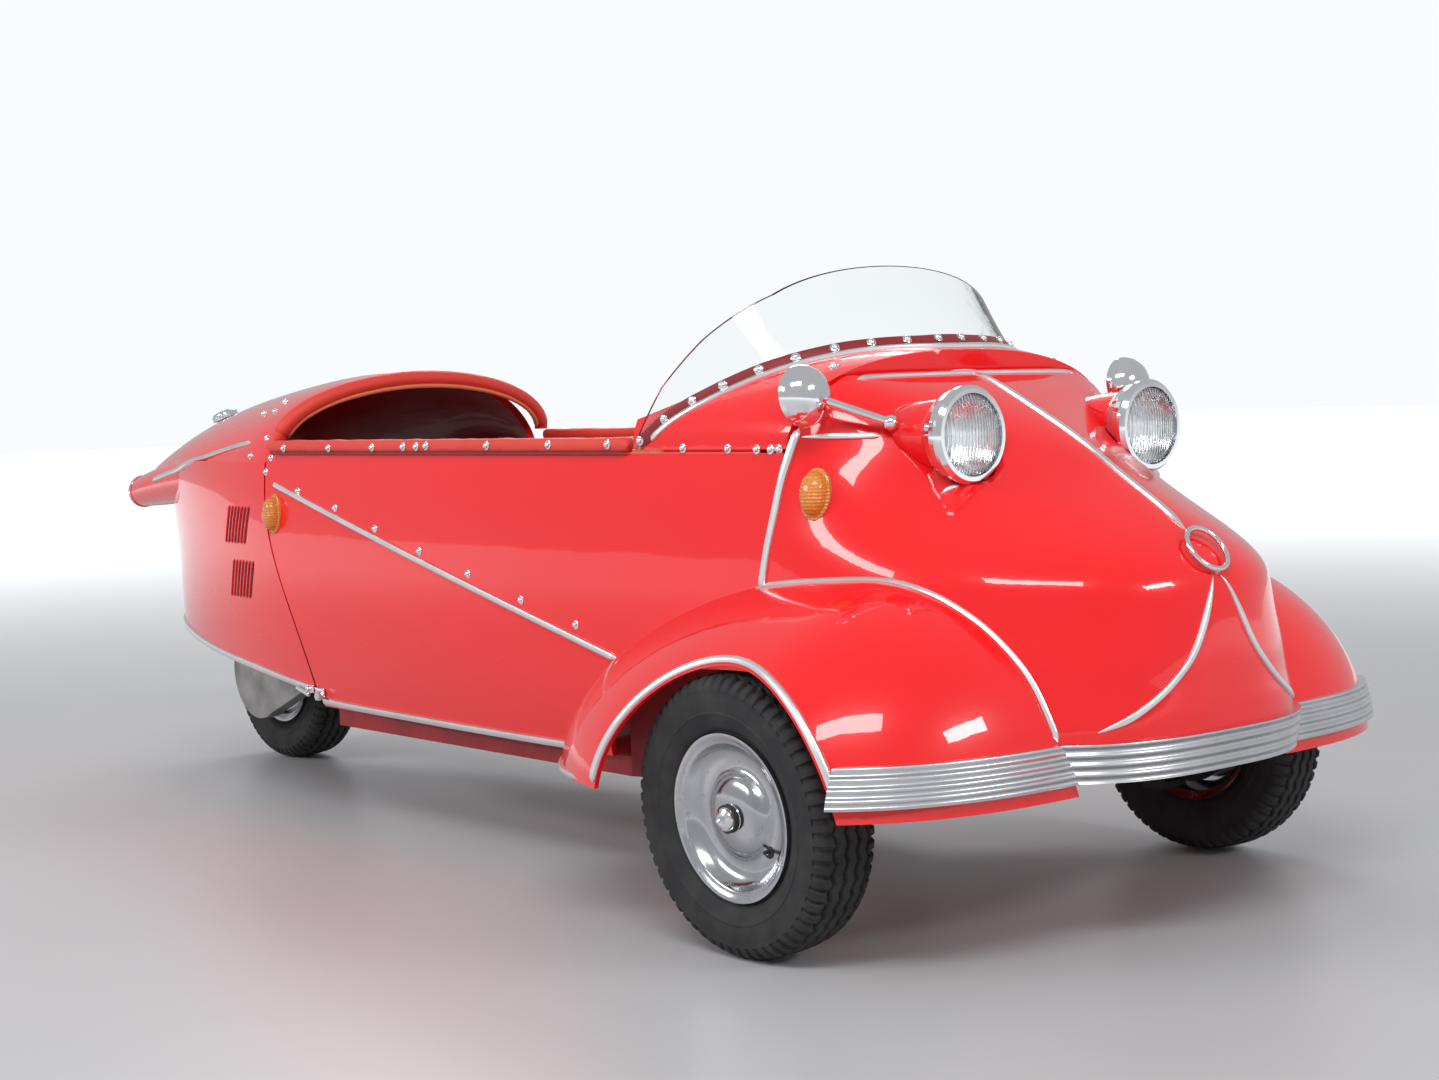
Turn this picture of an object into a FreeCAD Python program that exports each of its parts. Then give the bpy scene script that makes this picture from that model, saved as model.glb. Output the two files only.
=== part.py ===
import FreeCAD, Part
import math
import os

# Bubble car: tandem two-seat, three-wheel cabin scooter with an open cockpit.
# Millimetres, +Z up, the nose points to -Y and the vehicle's left side is +X.
# While it is built, Y = 0 is the front axle. save() moves the origin to the
# floor under the middle of the vehicle's length.

# Overall layout
WHEELBASE = 2030.0
TRACK = 950.0
ORIGIN_Y = 990.7
PANEL = 7.0
SIDE_WALL = 12.0
SEAM = 5.0
SEAT_GAP = 0.3

# Heights
BELT_Z = 657.0
SILL_Z = 195.0
FLOOR_Z = 165.0
FLOOR_SHEET = 12.0
FLOOR_RIM = 10.0
LINER_SHEET = 6.0
FLOOR_EDGE = ((234.0, -76.0), (250.0, 330.0), (312.0, 470.0), (312.0, 1329.7))
BULKHEAD_SHEET = 12.0
BULKHEAD_FOOT = (1330.0, 195.0)
BULKHEAD_HEAD = (1466.0, 600.0)
SHELF_Y = 1540.0
NOSE_BOTTOM_Z = 235.0

# Wheels
TYRE_R = 190.0
TYRE_W = 103.0
TREAD_HALF = 34.0
RIM_R = 112.0
BEAD_R = 101.5
SPINDLE_R = 12.0
DRUM_R = 76.0
KINGPIN_R = 10.0
PIN_R = 6.0
RUN = 0.05
CAMBER = 3.0
KINGPIN_X = 385.0
STEER_ARM = 120.0
STEER_Z = 262.0
SLEEVE_LOW_Z = 125.0
SLEEVE_HIGH_Z = 280.0
AXLE_TUBE_Y = -115.0
AXLE_TUBE_Z = 222.0
PITMAN_Y = -160.0
COLUMN_LOW = (-150.0, 350.0)
COLUMN_HIGH = (330.0, 690.0)
COLUMN_R = 9.0
BUMPER_PROUD = 10.0
BUMPER_LOW_Z = 232.0
BUMPER_HIGH_Z = 283.0
BUMPER_END_Y = -235.0
BELT_PAD_OUT = 4.0
BELT_PAD_W = 22.0
BELT_PAD_H = 24.0
BELT_PAD_END = 1545.0

# Nose waterlines: height, front end, half width at the seam, squareness
NOSE_LAP = 30.0
ROUND_STEPS = 8
NOSE = (
    (200.0, -396.0, 328.0, 3.0),
    (240.0, -400.0, 335.0, 3.05),
    (280.0, -403.0, 341.0, 3.05),
    (320.0, -405.0, 345.0, 2.85),
    (360.0, -405.0, 347.0, 2.62),
    (400.0, -404.0, 348.0, 2.45),
    (440.0, -401.0, 348.0, 2.32),
    (480.0, -393.0, 347.0, 2.26),
    (520.0, -365.0, 345.5, 2.0),
    (560.0, -318.0, 342.0, 1.68),
    (600.0, -257.0, 338.0, 1.48),
    (640.0, -196.0, 332.0, 1.38),
    (680.0, -130.0, 321.0, 1.42),
    (720.0, -54.0, 298.0, 1.65),
    (760.0, 46.0, 245.0, 2.0),
)

# Side wall of the tub: height, half width
SIDE = (
    (SILL_Z, 325.0),
    (290.0, 342.0),
    (390.0, 348.0),
    (486.0, 347.0),
    (570.0, 342.0),
    (BELT_Z, 331.0),
)
TUB_STATIONS = ((40.0, 1.0), (550.0, 1.0), (1050.0, 0.985), (1620.0, 0.935))

# Tail waterlines: height, rear end, half width at the seam, squareness
TAIL_FRONT = 1380.0
TAIL = (
    (200.0, 2340.0, 313.0, 1.85),
    (300.0, 2366.0, 329.0, 1.85),
    (400.0, 2372.0, 334.0, 1.85),
    (500.0, 2376.0, 333.0, 1.9),
    (570.0, 2378.0, 328.0, 2.0),
    (640.0, 2345.0, 320.0, 2.1),
)
# Rear deck arches: station, half width, foot height, rise
DECK = (
    (1380.0, 320.0, 620.0, 182.0),
    (1551.0, 312.0, 620.0, 181.0),
    (1720.0, 295.0, 618.0, 175.0),
    (1900.0, 268.0, 608.0, 163.0),
    (2100.0, 231.0, 594.0, 140.0),
    (2250.0, 201.0, 582.0, 108.0),
    (2340.0, 180.0, 574.0, 72.0),
    (2368.0, 168.0, 570.0, 50.0),
)

# Seams seen from the side: (y, z)
FRONT_SEAM = ((54.0, 758.0), (186.0, 194.0))
TAIL_SEAM = ((1397.0, 225.0), (1461.0, 368.0), (1538.0, 513.0), (1557.0, 654.0), (1512.0, 802.0))

# Fender dome
FENDER_X = 240.0
FENDER_ROOT_X = 110.0
FENDER_Y = -60.0
FENDER_Z = 200.0
FENDER_HALF_WIDTH = 370.0
FENDER_FRONT = 278.0
FENDER_REAR = 573.0
FENDER_RISE = 297.0
FENDER_SQUARE = 2.4
FENDER_HEM_Z = 214.0
ARCH_Y = -20.0
ARCH_Z = 165.0
ARCH_R = 225.0

# Cowl lid: station, half width, rise above the belt
LID_STATIONS = ((40.0, 326.0, 129.0), (110.0, 330.0, 144.0), (200.0, 332.0, 148.0), (470.0, 331.0, 148.0))
LID_SQUARE = 2.35
LID_FLANGE = 40.0
LID_REAR_Y = 415.0
SCREEN_EDGE = ((415.0, BELT_Z), (350.0, 752.0), (289.0, 819.0), (224.0, 880.0), (199.0, 919.0), (192.0, 930.0))
SCREEN_SHEET = 4.0
SCREEN_FLANGE = 12.0
# Windscreen waterlines: height, front, half width, depth of the bow
SCREEN = (
    (640.0, -84.0, 352.0, 790.0),
    (700.0, -25.0, 348.0, 570.0),
    (772.0, 46.0, 342.0, 440.0),
    (830.0, 103.0, 334.0, 350.0),
    (880.0, 153.0, 326.0, 270.0),
    (935.0, 208.0, 318.0, 200.0),
)

# Lamps
LAMP_X = 186.0
LAMP_Y = -135.0
LAMP_Z = 675.0
LAMP_DEPTH = 45.0
LENS_R = 56.0
LAMP_RIM_R = 67.0
TAIL_LAMP = (165.0, 2372.0, 568.0)
TAIL_LENS_R = 30.0

# Seats
CUSHION_Z = 305.0
BACK_FOOT_Z = 396.0
BACK_THICK = 65.0
FRONT_BACK_Y = 905.0
FRONT_LEAN = 10.0
POST_R = 9.0

# Rear hoop
HOOP_BASE = (300.0, 1530.0, 677.0)
HOOP_TOP = (0.0, 1488.0, 789.0)
HOOP_SECTION_R = 13.0


def vec(x, y, z):
    return FreeCAD.Vector(x, y, z)


def box(x0, x1, y0, y1, z0, z1):
    return Part.makeBox(x1 - x0, y1 - y0, z1 - z0, vec(x0, y0, z0))


def rod(start, end, radius):
    axis = end - start
    return Part.makeCylinder(radius, axis.Length, start, axis)


def mirrored(shape):
    return shape.mirror(vec(0, 0, 0), vec(1, 0, 0))


def curve(points):
    line = Part.BSplineCurve()
    line.interpolate(points)
    return line.toShape()


def polygon(points):
    return Part.makePolygon(list(points) + [points[0]])


def side_prism(outline, half_width=800.0):
    """Solid with a closed outline of (y, z) points, drawn through the vehicle from side to side."""
    face = Part.Face(polygon([vec(-half_width, y, z) for y, z in outline]))
    return face.extrude(vec(half_width * 2, 0, 0))


def plan_prism(outline, low, high):
    """Solid with a closed outline of (x, y) points between two heights."""
    face = Part.Face(polygon([vec(x, y, low) for x, y in outline]))
    return face.extrude(vec(0, 0, high - low))


def half_round(squareness):
    """Half of a superellipse of unit size: (across, along) from (-1, 0) through (0, 1) to (1, 0)."""
    points = []
    for step in range(1 - ROUND_STEPS, ROUND_STEPS):
        angle = math.radians(90.0 * step / ROUND_STEPS)
        across, along = math.sin(angle), math.cos(angle)
        reach = (abs(across) ** squareness + along ** squareness) ** (-1.0 / squareness)
        points.append((across * reach, along * reach))
    return [(-1.0, 0.0)] + points + [(1.0, 0.0)]


def bow_points(height, tip, back, half_width, squareness):
    """Waterline of a pointed or rounded end, from one side round the tip to the other."""
    return [vec(half_width * u, back + (tip - back) * v, height) for u, v in half_round(squareness)]


def bow_solid(stations, inset=0.0):
    """Tail below its crease: bows that close on a straight front."""
    wires = []
    for height, tip, half_width, squareness in stations:
        front = TAIL_FRONT - (1 if inset else 0)
        points = bow_points(height - inset * 0.8, tip - inset, front, half_width - inset, squareness)
        wires.append(Part.Wire([curve(points), Part.makeLine(points[-1], points[0])]))
    return Part.makeLoft(wires, True, False)


def nose_solid(inset=0.0):
    """Nose: bows that reach full width at the front seam and lap behind it."""
    wires = []
    for height, tip, half_width, squareness in NOSE:
        level = height - inset * 0.8
        back = seam_y(height)
        points = bow_points(level, tip + inset, max(back, tip + inset + 2), half_width - inset, squareness)
        first, last = points[0], points[-1]
        lap = vec(0, NOSE_LAP + inset, 0)
        wires.append(Part.Wire([
            curve(points),
            Part.makeLine(last, last + lap),
            Part.makeLine(last + lap, first + lap),
            Part.makeLine(first + lap, first),
        ]))
    return Part.makeLoft(wires, True, False)


def tub_solid(inset=0.0, top=0.0):
    """Space between the side walls, from the sill up to the belt."""
    wires = []
    for y, scale in TUB_STATIONS:
        right = [vec(-(w * scale - inset), y, z) for z, w in SIDE]
        if top:
            right.append(vec(-(SIDE[-1][1] * scale - inset), y, BELT_Z + top))
        left = [vec(-p.x, p.y, p.z) for p in reversed(right)]
        wires.append(Part.Wire([
            curve(right),
            Part.makeLine(right[-1], left[0]),
            curve(left),
            Part.makeLine(left[-1], right[0]),
        ]))
    return Part.makeLoft(wires, True, False)


def seam_y(height):
    (y0, z0), (y1, z1) = FRONT_SEAM
    return y0 + (z0 - height) * (y1 - y0) / (z0 - z1)


def ahead_of_front_seam(gap):
    return side_prism(((-700, 0), (seam_y(0) - gap, 0), (seam_y(1000) - gap, 1000), (-700, 1000)))


def tail_side(gap, half_width=800.0):
    """Everything behind the tail seam."""
    seam = [vec(-half_width, y + gap, z) for y, z in TAIL_SEAM]
    first, last = seam[0], seam[-1]
    corners = [
        last,
        vec(first.x, last.y - 60.0, 1000.0),
        vec(first.x, 3000.0, 1000.0),
        vec(first.x, 3000.0, 0.0),
        vec(first.x, first.y - 100.0, 0.0),
        first,
    ]
    face = Part.Face(Part.Wire([curve(seam)] + Part.makePolygon(corners).Edges))
    return face.extrude(vec(half_width * 2, 0, 0))


def fender_dome(inset=0.0):
    """Left fender's bulge as a solid that reaches into the nose."""
    wires = []
    for angle in (-8.0, 12.0, 30.0, 46.0, 60.0, 72.0, 81.0):
        turn = math.radians(angle)
        height = FENDER_Z + (FENDER_RISE - inset) * math.sin(turn)
        share = math.cos(turn)
        points = []
        for u, v in half_round(FENDER_SQUARE):
            reach = FENDER_FRONT if u < 0 else FENDER_REAR
            x = FENDER_X + (FENDER_HALF_WIDTH - inset) * share * v
            points.append(vec(x, FENDER_Y + (reach - inset) * share * u, height))
        front, rear = points[0], points[-1]
        root_front = vec(FENDER_ROOT_X, front.y, height)
        root_rear = vec(FENDER_ROOT_X, rear.y, height)
        wires.append(Part.Wire([
            curve(points),
            Part.makeLine(rear, root_rear),
            Part.makeLine(root_rear, root_front),
            Part.makeLine(root_front, front),
        ]))
    return Part.makeLoft(wires, True, False)


def arch_solid(stations, squareness, inset=0.0, sink=0.0):
    """Loft through arches that stand on a flat foot: station, half width, foot height, rise."""
    wires = []
    for y, half_width, foot, rise in stations:
        points = []
        for u, v in half_round(squareness):
            points.append(vec((half_width - inset) * u, y, foot - sink + (rise + sink - inset) * v))
        wires.append(Part.Wire([curve(points), Part.makeLine(points[-1], points[0])]))
    return Part.makeLoft(wires, True, False)


def lid_solid(inset=0.0):
    stations = [(y, half_width, BELT_Z + SEAM, rise) for y, half_width, rise in LID_STATIONS]
    return arch_solid(stations, LID_SQUARE, inset)


def tail_solid(inset=0.0):
    stations = [(y + (1 if inset and y < 1400 else 0), w, foot, rise) for y, w, foot, rise in DECK]
    if inset:
        stations[-1] = (DECK[-1][0] - inset,) + DECK[-1][1:]
    deck = arch_solid(stations, 2.0, inset, inset and 20.0)
    low = bow_solid(TAIL, inset)
    return low.fuse(deck)


def revolved(profile, centre, axis):
    """Solid of revolution: profile is (radius, distance along the axis) points."""
    points = [vec(radius, 0, along) for radius, along in profile]
    face = Part.Face(polygon(points))
    solid = face.revolve(vec(0, 0, 0), vec(0, 0, 1), 360)
    solid.Placement = FreeCAD.Placement(centre, FreeCAD.Rotation(vec(0, 0, 1), axis))
    return solid


def save(node, *solids):
    shape = solids[0] if len(solids) == 1 else Part.makeCompound(list(solids))
    moved = shape.copy()
    moved.translate(vec(0, -ORIGIN_Y, 0))
    moved.exportStep("parts/" + node + ".step")


def largest(shape):
    """The one solid that a cut leaves, without slivers."""
    return max(shape.Solids, key=lambda solid: solid.Volume)


# Body panels

def hull_solids():
    return {
        "nose": nose_solid(),
        "nose_in": nose_solid(PANEL),
        "tub": tub_solid(),
        "tub_in": tub_solid(SIDE_WALL, 10.0),
        "tail": tail_solid(),
        "tail_in": tail_solid(PANEL),
        "dome": fender_dome(),
        "dome_in": fender_dome(PANEL),
    }


def lamp_axis():
    return vec(0, -1, 0)


def lamp_pod(side):
    x = side * LAMP_X
    stations = ((LAMP_Y + LAMP_DEPTH, x, LAMP_Z, 50.0), (-30.0, x * 1.02, LAMP_Z + 2, 44.0), (50.0, x * 1.05, LAMP_Z + 4, 24.0))
    wires = [Part.Wire(Part.makeCircle(r, vec(cx, y, z), vec(0, -1, 0))) for y, cx, z, r in stations]
    return Part.makeLoft(wires, True, False)


def make_nose(hull):
    shell = hull["nose"].cut(hull["nose_in"])
    for side in (-1, 1):
        shell = shell.fuse(lamp_pod(side).cut(hull["nose_in"]))
    shell = shell.common(ahead_of_front_seam(SEAM / 2))
    shell = shell.cut(box(-500, 500, -600, 400, 0, NOSE_BOTTOM_Z))
    shell = shell.cut(hull["dome_in"]).cut(mirrored(hull["dome_in"]))
    for side in (-1, 1):
        back = vec(side * LAMP_X, LAMP_Y + LAMP_DEPTH, LAMP_Z)
        shell = shell.cut(revolved(((0, 0), (50, 0), (60, 14), (LAMP_RIM_R, 28), (LAMP_RIM_R, 70), (0, 70)), back, lamp_axis()))
    save("nose_shell", largest(shell))


def make_fenders(hull):
    shell = hull["dome"].cut(hull["dome_in"])
    shell = shell.cut(hull["nose"]).cut(hull["tub"])
    shell = shell.cut(box(-300, 900, -600, 900, 0, FENDER_HEM_Z))
    shell = shell.cut(rod(vec(520, ARCH_Y, ARCH_Z), vec(700, ARCH_Y, ARCH_Z), ARCH_R))
    left = largest(shell)
    save("fender_left", left)
    save("fender_right", mirrored(left))


def make_sides(hull):
    wall = hull["tub"].cut(hull["tub_in"])
    wall = wall.cut(ahead_of_front_seam(-SEAM / 2)).cut(tail_side(-SEAM))
    wall = wall.cut(hull["dome_in"])
    left = largest(wall.common(box(100, 500, 0, 1800, 100, 800)))
    save("side_panel_left", left)
    save("side_panel_right", mirrored(left))


def floor_outline(inset=0.0):
    half = [(x - inset, y) for x, y in FLOOR_EDGE]
    return half + [(-x, y) for x, y in reversed(half)]


def make_floor():
    pan = plan_prism(floor_outline(), FLOOR_Z, SILL_Z)
    tray = plan_prism(floor_outline(FLOOR_RIM), FLOOR_Z + FLOOR_SHEET, SILL_Z + 1)
    first, last = FLOOR_EDGE[0][1], FLOOR_EDGE[-1][1]
    pan = pan.cut(tray.common(box(-400, 400, first + FLOOR_RIM, last - FLOOR_RIM, 0, 400)))
    x, y = FLOOR_EDGE[0]
    save("floor_pan", pan.fuse(box(-x, x, y, y + LINER_SHEET, SILL_Z, 330)))


def make_liners():
    outer = FLOOR_EDGE[:3]
    inner = [(x - LINER_SHEET, y) for x, y in reversed(outer)]
    wall = plan_prism(outer + tuple(inner), SILL_Z, 430)
    wall = wall.cut(box(-500, 500, -200, FLOOR_EDGE[0][1] + LINER_SHEET, 0, 330))
    save("arch_liner_left", wall)
    save("arch_liner_right", mirrored(wall))


def bulkhead_sheet():
    (y0, z0), (y1, z1) = BULKHEAD_FOOT, BULKHEAD_HEAD
    return side_prism((
        (y0, z0), (y0 + BULKHEAD_SHEET, z0), (y1 + BULKHEAD_SHEET, z1 - BULKHEAD_SHEET),
        (SHELF_Y, z1 - BULKHEAD_SHEET), (SHELF_Y, z1), (y1, z1),
    ), 400)


def make_bulkhead(hull):
    save("rear_bulkhead", bulkhead_sheet().common(hull["tub_in"]))


def make_tail(hull):
    shell = hull["tail"].cut(hull["tail_in"])
    for side in (-1, 1):
        x, y, z = TAIL_LAMP
        wires = [
            Part.Wire(Part.makeCircle(33.0, vec(side * x, y, z), vec(0, 1, 0))),
            Part.Wire(Part.makeCircle(44.0, vec(side * (x + 15), y - 180, z + 20), vec(0, 1, 0))),
            Part.Wire(Part.makeCircle(46.0, vec(side * (x + 40), y - 380, z + 35), vec(0, 1, 0))),
        ]
        shell = shell.fuse(Part.makeLoft(wires, True, False).cut(hull["tail_in"]))
    shell = shell.common(tail_side(0.0))
    hem = side_prism(((1000, 0), (1000, 184), (1430, 222), (2600, 325), (2600, 0)))
    shell = shell.cut(hem)
    save("tail_shell", largest(shell))


def make_lid():
    shell = lid_solid().cut(lid_solid(PANEL + 1))
    shell = shell.cut(ahead_of_front_seam(-SEAM / 2))
    front = ahead_of_front_seam(-SEAM / 2 - PANEL).cut(ahead_of_front_seam(-SEAM / 2))
    shell = shell.fuse(lid_solid().common(front).cut(lid_solid(LID_FLANGE)))
    shell = shell.cut(screen_solid(-SCREEN_SHEET - SCREEN_FLANGE)).cut(box(-500, 500, LID_REAR_Y, 700, 500, 1000))
    save("cowl_lid", largest(shell))


def screen_solid(grow):
    wires = []
    for height, front, half_width, depth in SCREEN:
        points = []
        for step in range(-6, 7):
            angle = math.radians(15.0 * step)
            x = (half_width + grow) * math.sin(angle)
            y = front - grow + depth * (1 - math.cos(angle))
            points.append(vec(x, y, height))
        wires.append(Part.Wire([curve(points), Part.makeLine(points[-1], points[0])]))
    return Part.makeLoft(wires, True, False)


def make_screen():
    sheet = screen_solid(0.0).cut(screen_solid(-SCREEN_SHEET))
    outline = [(LID_REAR_Y, BELT_Z - 10)] + list(SCREEN_EDGE) + [(0.0, SCREEN_EDGE[-1][1]), (0.0, BELT_Z - 10)]
    sheet = sheet.common(side_prism(outline)).cut(lid_solid(-SEAT_GAP))
    sheet = sheet.common(box(-500, 500, -100, 500, BELT_Z + SEAM, 1000))
    save("windscreen", largest(sheet))


def make_hoop():
    bx, by, bz = HOOP_BASE
    tx, ty, tz = HOOP_TOP
    points = []
    for step in range(0, 13):
        angle = math.radians(15.0 * step)
        rise = math.sin(angle)
        points.append(vec(bx * math.cos(angle), by + (ty - by) * rise, bz + (tz - bz) * rise))
    path = Part.Wire(curve(points))
    pipe = Part.BRepOffsetAPI.MakePipeShell(path)
    pipe.add(Part.Wire(Part.makeCircle(HOOP_SECTION_R, points[0], vec(0, 0, 1))))
    pipe.build()
    pipe.makeSolid()
    hoop = pipe.shape().common(box(-500, 500, 1300, 1800, BELT_Z + BELT_PAD_H + SEAT_GAP, 900))
    save("rear_hoop", largest(hoop))


# Lamps and fittings

def make_headlamps():
    rims, lenses = [], []
    for side in (-1, 1):
        centre = vec(side * LAMP_X, LAMP_Y + LAMP_DEPTH, LAMP_Z)
        rim = (
            (0, 0), (50, 0), (59, 14), (65, 28), (LAMP_RIM_R, 38), (LAMP_RIM_R, 43), (62, 49), (LENS_R, 49),
            (LENS_R, 38), (50, 26), (36, 14), (18, 8), (0, 6),
        )
        rims.append(revolved(rim, centre, lamp_axis()))
        lens = ((0, 53), (30, 49), (LENS_R - SEAT_GAP, 41), (LENS_R - SEAT_GAP, 46), (40, 54), (20, 58), (0, 59))
        lenses.append(revolved(lens, centre, lamp_axis()))
    save("headlamp_rims", *rims)
    save("headlamp_lenses", *lenses)


def make_tail_lamps():
    x, y, z = TAIL_LAMP
    rims, lenses = [], []
    for side in (-1, 1):
        centre = vec(side * x, y, z)
        rims.append(revolved(((0, 0), (35, 0), (35, 8), (31, 10), (0, 10)), centre, vec(0, 1, 0)))
        lenses.append(revolved(((0, 10.1), (TAIL_LENS_R, 10.1), (24, 18), (0, 22)), centre, vec(0, 1, 0)))
    save("tail_lamp_rims", *rims)
    save("tail_lamp_lenses", *lenses)


def make_mirrors(hull):
    base = vec(-238, -35, 694)
    head = vec(-335, 20, 734)
    stem = rod(base, head, 6.0)
    dish = revolved(((0, 0), (41, 0), (41, 4), (30, 20), (12, 27), (0, 28)), head + vec(0, 14, 0), vec(0, -1, 0.1))
    foot = Part.makeSphere(11.0, base)
    right = stem.fuse([dish, foot])
    right = right.cut(hull["nose"]).cut(lamp_pod(-1))
    save("mirrors", mirrored(right), right)


# Running gear

def tyre_profile():
    bead = BEAD_R + SEAT_GAP
    flange = RIM_R + 2.0
    widest = TYRE_W / 2
    side = (
        (bead, 33.0), (flange, 34.0), (flange + 8, widest - 9), (145.0, widest - 1.5), (160.0, widest),
        (174.0, widest - 2.5), (TYRE_R - 6, widest - 9), (TYRE_R - 1, TREAD_HALF - 4), (TYRE_R, 12.0),
    )
    return [(radius, -along) for radius, along in side] + [(radius, along) for radius, along in reversed(side)]


def wheel_profile():
    bore = SPINDLE_R + RUN
    seat = BEAD_R
    rim = (
        (87.0, -8.0), (87.0, -14.0), (seat - 3.5, -22.0), (seat - 3.5, -36.0), (RIM_R - 4, -40.0), (RIM_R, -42.0),
        (RIM_R + 1, -39.0), (RIM_R - 3, -35.0), (seat, -33.5), (seat, -23.0), (90.0, -14.0), (90.0, 14.0),
        (seat, 23.0), (seat, 33.5), (RIM_R - 3, 35.0), (RIM_R + 1, 39.0), (RIM_R, 42.0), (RIM_R - 4, 40.0),
        (seat - 3.5, 36.0), (seat - 3.5, 22.0), (87.0, 14.0), (87.0, 3.0),
    )
    back = ((bore, -36.0), (DRUM_R, -36.0), (DRUM_R, -5.0), (84.0, -5.0))
    front = ((80.0, 0.0), (72.0, 7.0), (62.0, 15.0), (50.0, 19.0), (42.0, 27.0), (34.0, 34.0), (20.0, 37.0), (bore, 37.0))
    return back + rim + front


def front_axle_direction(side):
    lean = math.radians(CAMBER)
    return vec(side * math.cos(lean), 0, -math.sin(lean))


def front_wheel_height():
    lean = math.radians(CAMBER)
    return max(radius * math.cos(lean) + along * math.sin(lean) for radius, along in tyre_profile())


def front_wheel_centre(side):
    return vec(side * TRACK / 2, 0, front_wheel_height())


def make_wheels():
    rear = vec(0, WHEELBASE, TYRE_R)
    places = (
        ("front_left", front_wheel_centre(1), front_axle_direction(1)),
        ("front_right", front_wheel_centre(-1), front_axle_direction(-1)),
        ("rear", rear, vec(-1, 0, 0)),
    )
    for name, centre, axis in places:
        save("tyre_" + name, revolved(tyre_profile(), centre, axis))
        save("wheel_" + name, revolved(wheel_profile(), centre, axis))


def make_knuckles():
    centre = front_wheel_centre(1)
    axis = front_axle_direction(1)
    sleeve = rod(vec(KINGPIN_X, 0, SLEEVE_LOW_Z), vec(KINGPIN_X, 0, SLEEVE_HIGH_Z), 19.0)
    root = centre - axis * ((centre.x - KINGPIN_X) / axis.x)
    spindle = rod(root, centre + axis * 50.0, SPINDLE_R)
    nut = rod(centre + axis * 38.0, centre + axis * 48.0, 19.0)
    plate = rod(centre - axis * 47.0, centre - axis * 41.5, 82.0)
    neck = rod(root, centre - axis * 44.0, 24.0)
    arm = box(KINGPIN_X - 9, KINGPIN_X + 9, -STEER_ARM - 10, 0, STEER_Z - 6, STEER_Z + 6)
    pin = rod(vec(KINGPIN_X, -STEER_ARM, STEER_Z), vec(KINGPIN_X, -STEER_ARM, STEER_Z + 31), PIN_R)
    left = sleeve.fuse([spindle, nut, plate, neck, arm, pin])
    left = left.cut(rod(vec(KINGPIN_X, 0, 0), vec(KINGPIN_X, 0, 400), KINGPIN_R + RUN))
    save("knuckle_left", left)
    save("knuckle_right", mirrored(left))


def make_front_axle():
    tube = rod(vec(-300, AXLE_TUBE_Y, AXLE_TUBE_Z), vec(300, AXLE_TUBE_Y, AXLE_TUBE_Z), 22.0)
    left = rod(vec(KINGPIN_X, 0, SLEEVE_LOW_Z - 15), vec(KINGPIN_X, 0, SLEEVE_HIGH_Z + 15), KINGPIN_R)
    lug_low = box(338, KINGPIN_X + 16, -16, 16, SLEEVE_LOW_Z - 15, SLEEVE_LOW_Z - 5)
    lug_high = box(338, KINGPIN_X + 16, -16, 16, SLEEVE_HIGH_Z + 5, SLEEVE_HIGH_Z + 15)
    web = box(336, 350, -16, 16, SLEEVE_LOW_Z - 15, SLEEVE_HIGH_Z + 15)
    arm = rod(vec(285, AXLE_TUBE_Y, AXLE_TUBE_Z), vec(343, 0, AXLE_TUBE_Z - 15), 15.0)
    left = left.fuse([lug_low, lug_high, web, arm])
    brackets = [box(x - 20, x + 20, AXLE_TUBE_Y, -76, AXLE_TUBE_Z - 12, AXLE_TUBE_Z + 12) for x in (-180, 180)]
    save("front_axle", tube.fuse([left, mirrored(left)] + brackets))


def column_point(along):
    return vec(0, COLUMN_LOW[0], COLUMN_LOW[1]) + column_axis() * along


def column_axis():
    axis = vec(0, COLUMN_HIGH[0] - COLUMN_LOW[0], COLUMN_HIGH[1] - COLUMN_LOW[1])
    axis.normalize()
    return axis


def make_steering():
    length = (vec(0, *COLUMN_HIGH) - vec(0, *COLUMN_LOW)).Length
    pivot = vec(0, PITMAN_Y, STEER_Z)
    tip = vec(0, PITMAN_Y - STEER_ARM, STEER_Z)
    arm = box(-9, 9, tip.y - 10, pivot.y + 10, STEER_Z - 6, STEER_Z + 6)
    shaft = rod(pivot, pivot + vec(0, 0, 42), 10.0)
    save("steering_arm", arm.fuse([shaft, rod(tip, tip + vec(0, 0, 31), PIN_R)]))
    block = box(-24, 24, PITMAN_Y - 24, PITMAN_Y + 40, STEER_Z + 12, COLUMN_LOW[1] + 30)
    bracket = box(-24, 24, PITMAN_Y + 40, -76, STEER_Z + 20, STEER_Z + 60)
    block = block.fuse(bracket)
    block = block.cut(rod(pivot, pivot + vec(0, 0, 44), 10.0 + RUN))
    block = block.cut(rod(column_point(-1), column_point(90), COLUMN_R + RUN))
    save("steering_box", block)
    column = rod(column_point(0), column_point(length), COLUMN_R)
    bar_centre = column_point(length)
    boss = rod(bar_centre - column_axis() * 18, bar_centre + column_axis() * 10, 34.0)
    bar = rod(bar_centre - vec(185, 0, 0), bar_centre + vec(185, 0, 0), 11.0)
    save("steering_bar", column.fuse([boss, bar]))
    for name, side, level in (("left", 1, STEER_Z + 6.3), ("right", -1, STEER_Z + 17.5)):
        outer = vec(side * KINGPIN_X, -STEER_ARM, level)
        inner = vec(0, PITMAN_Y - STEER_ARM, level)
        lift = vec(0, 0, 10)
        link = rod(outer + lift * 0.5, inner + lift * 0.5, 4.8)
        link = link.fuse([rod(outer, outer + lift, 13.0), rod(inner, inner + lift, 13.0)])
        for end in (outer, inner):
            link = link.cut(rod(end - lift, end + lift * 2, PIN_R + RUN))
        save("track_rod_" + name, link)


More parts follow.
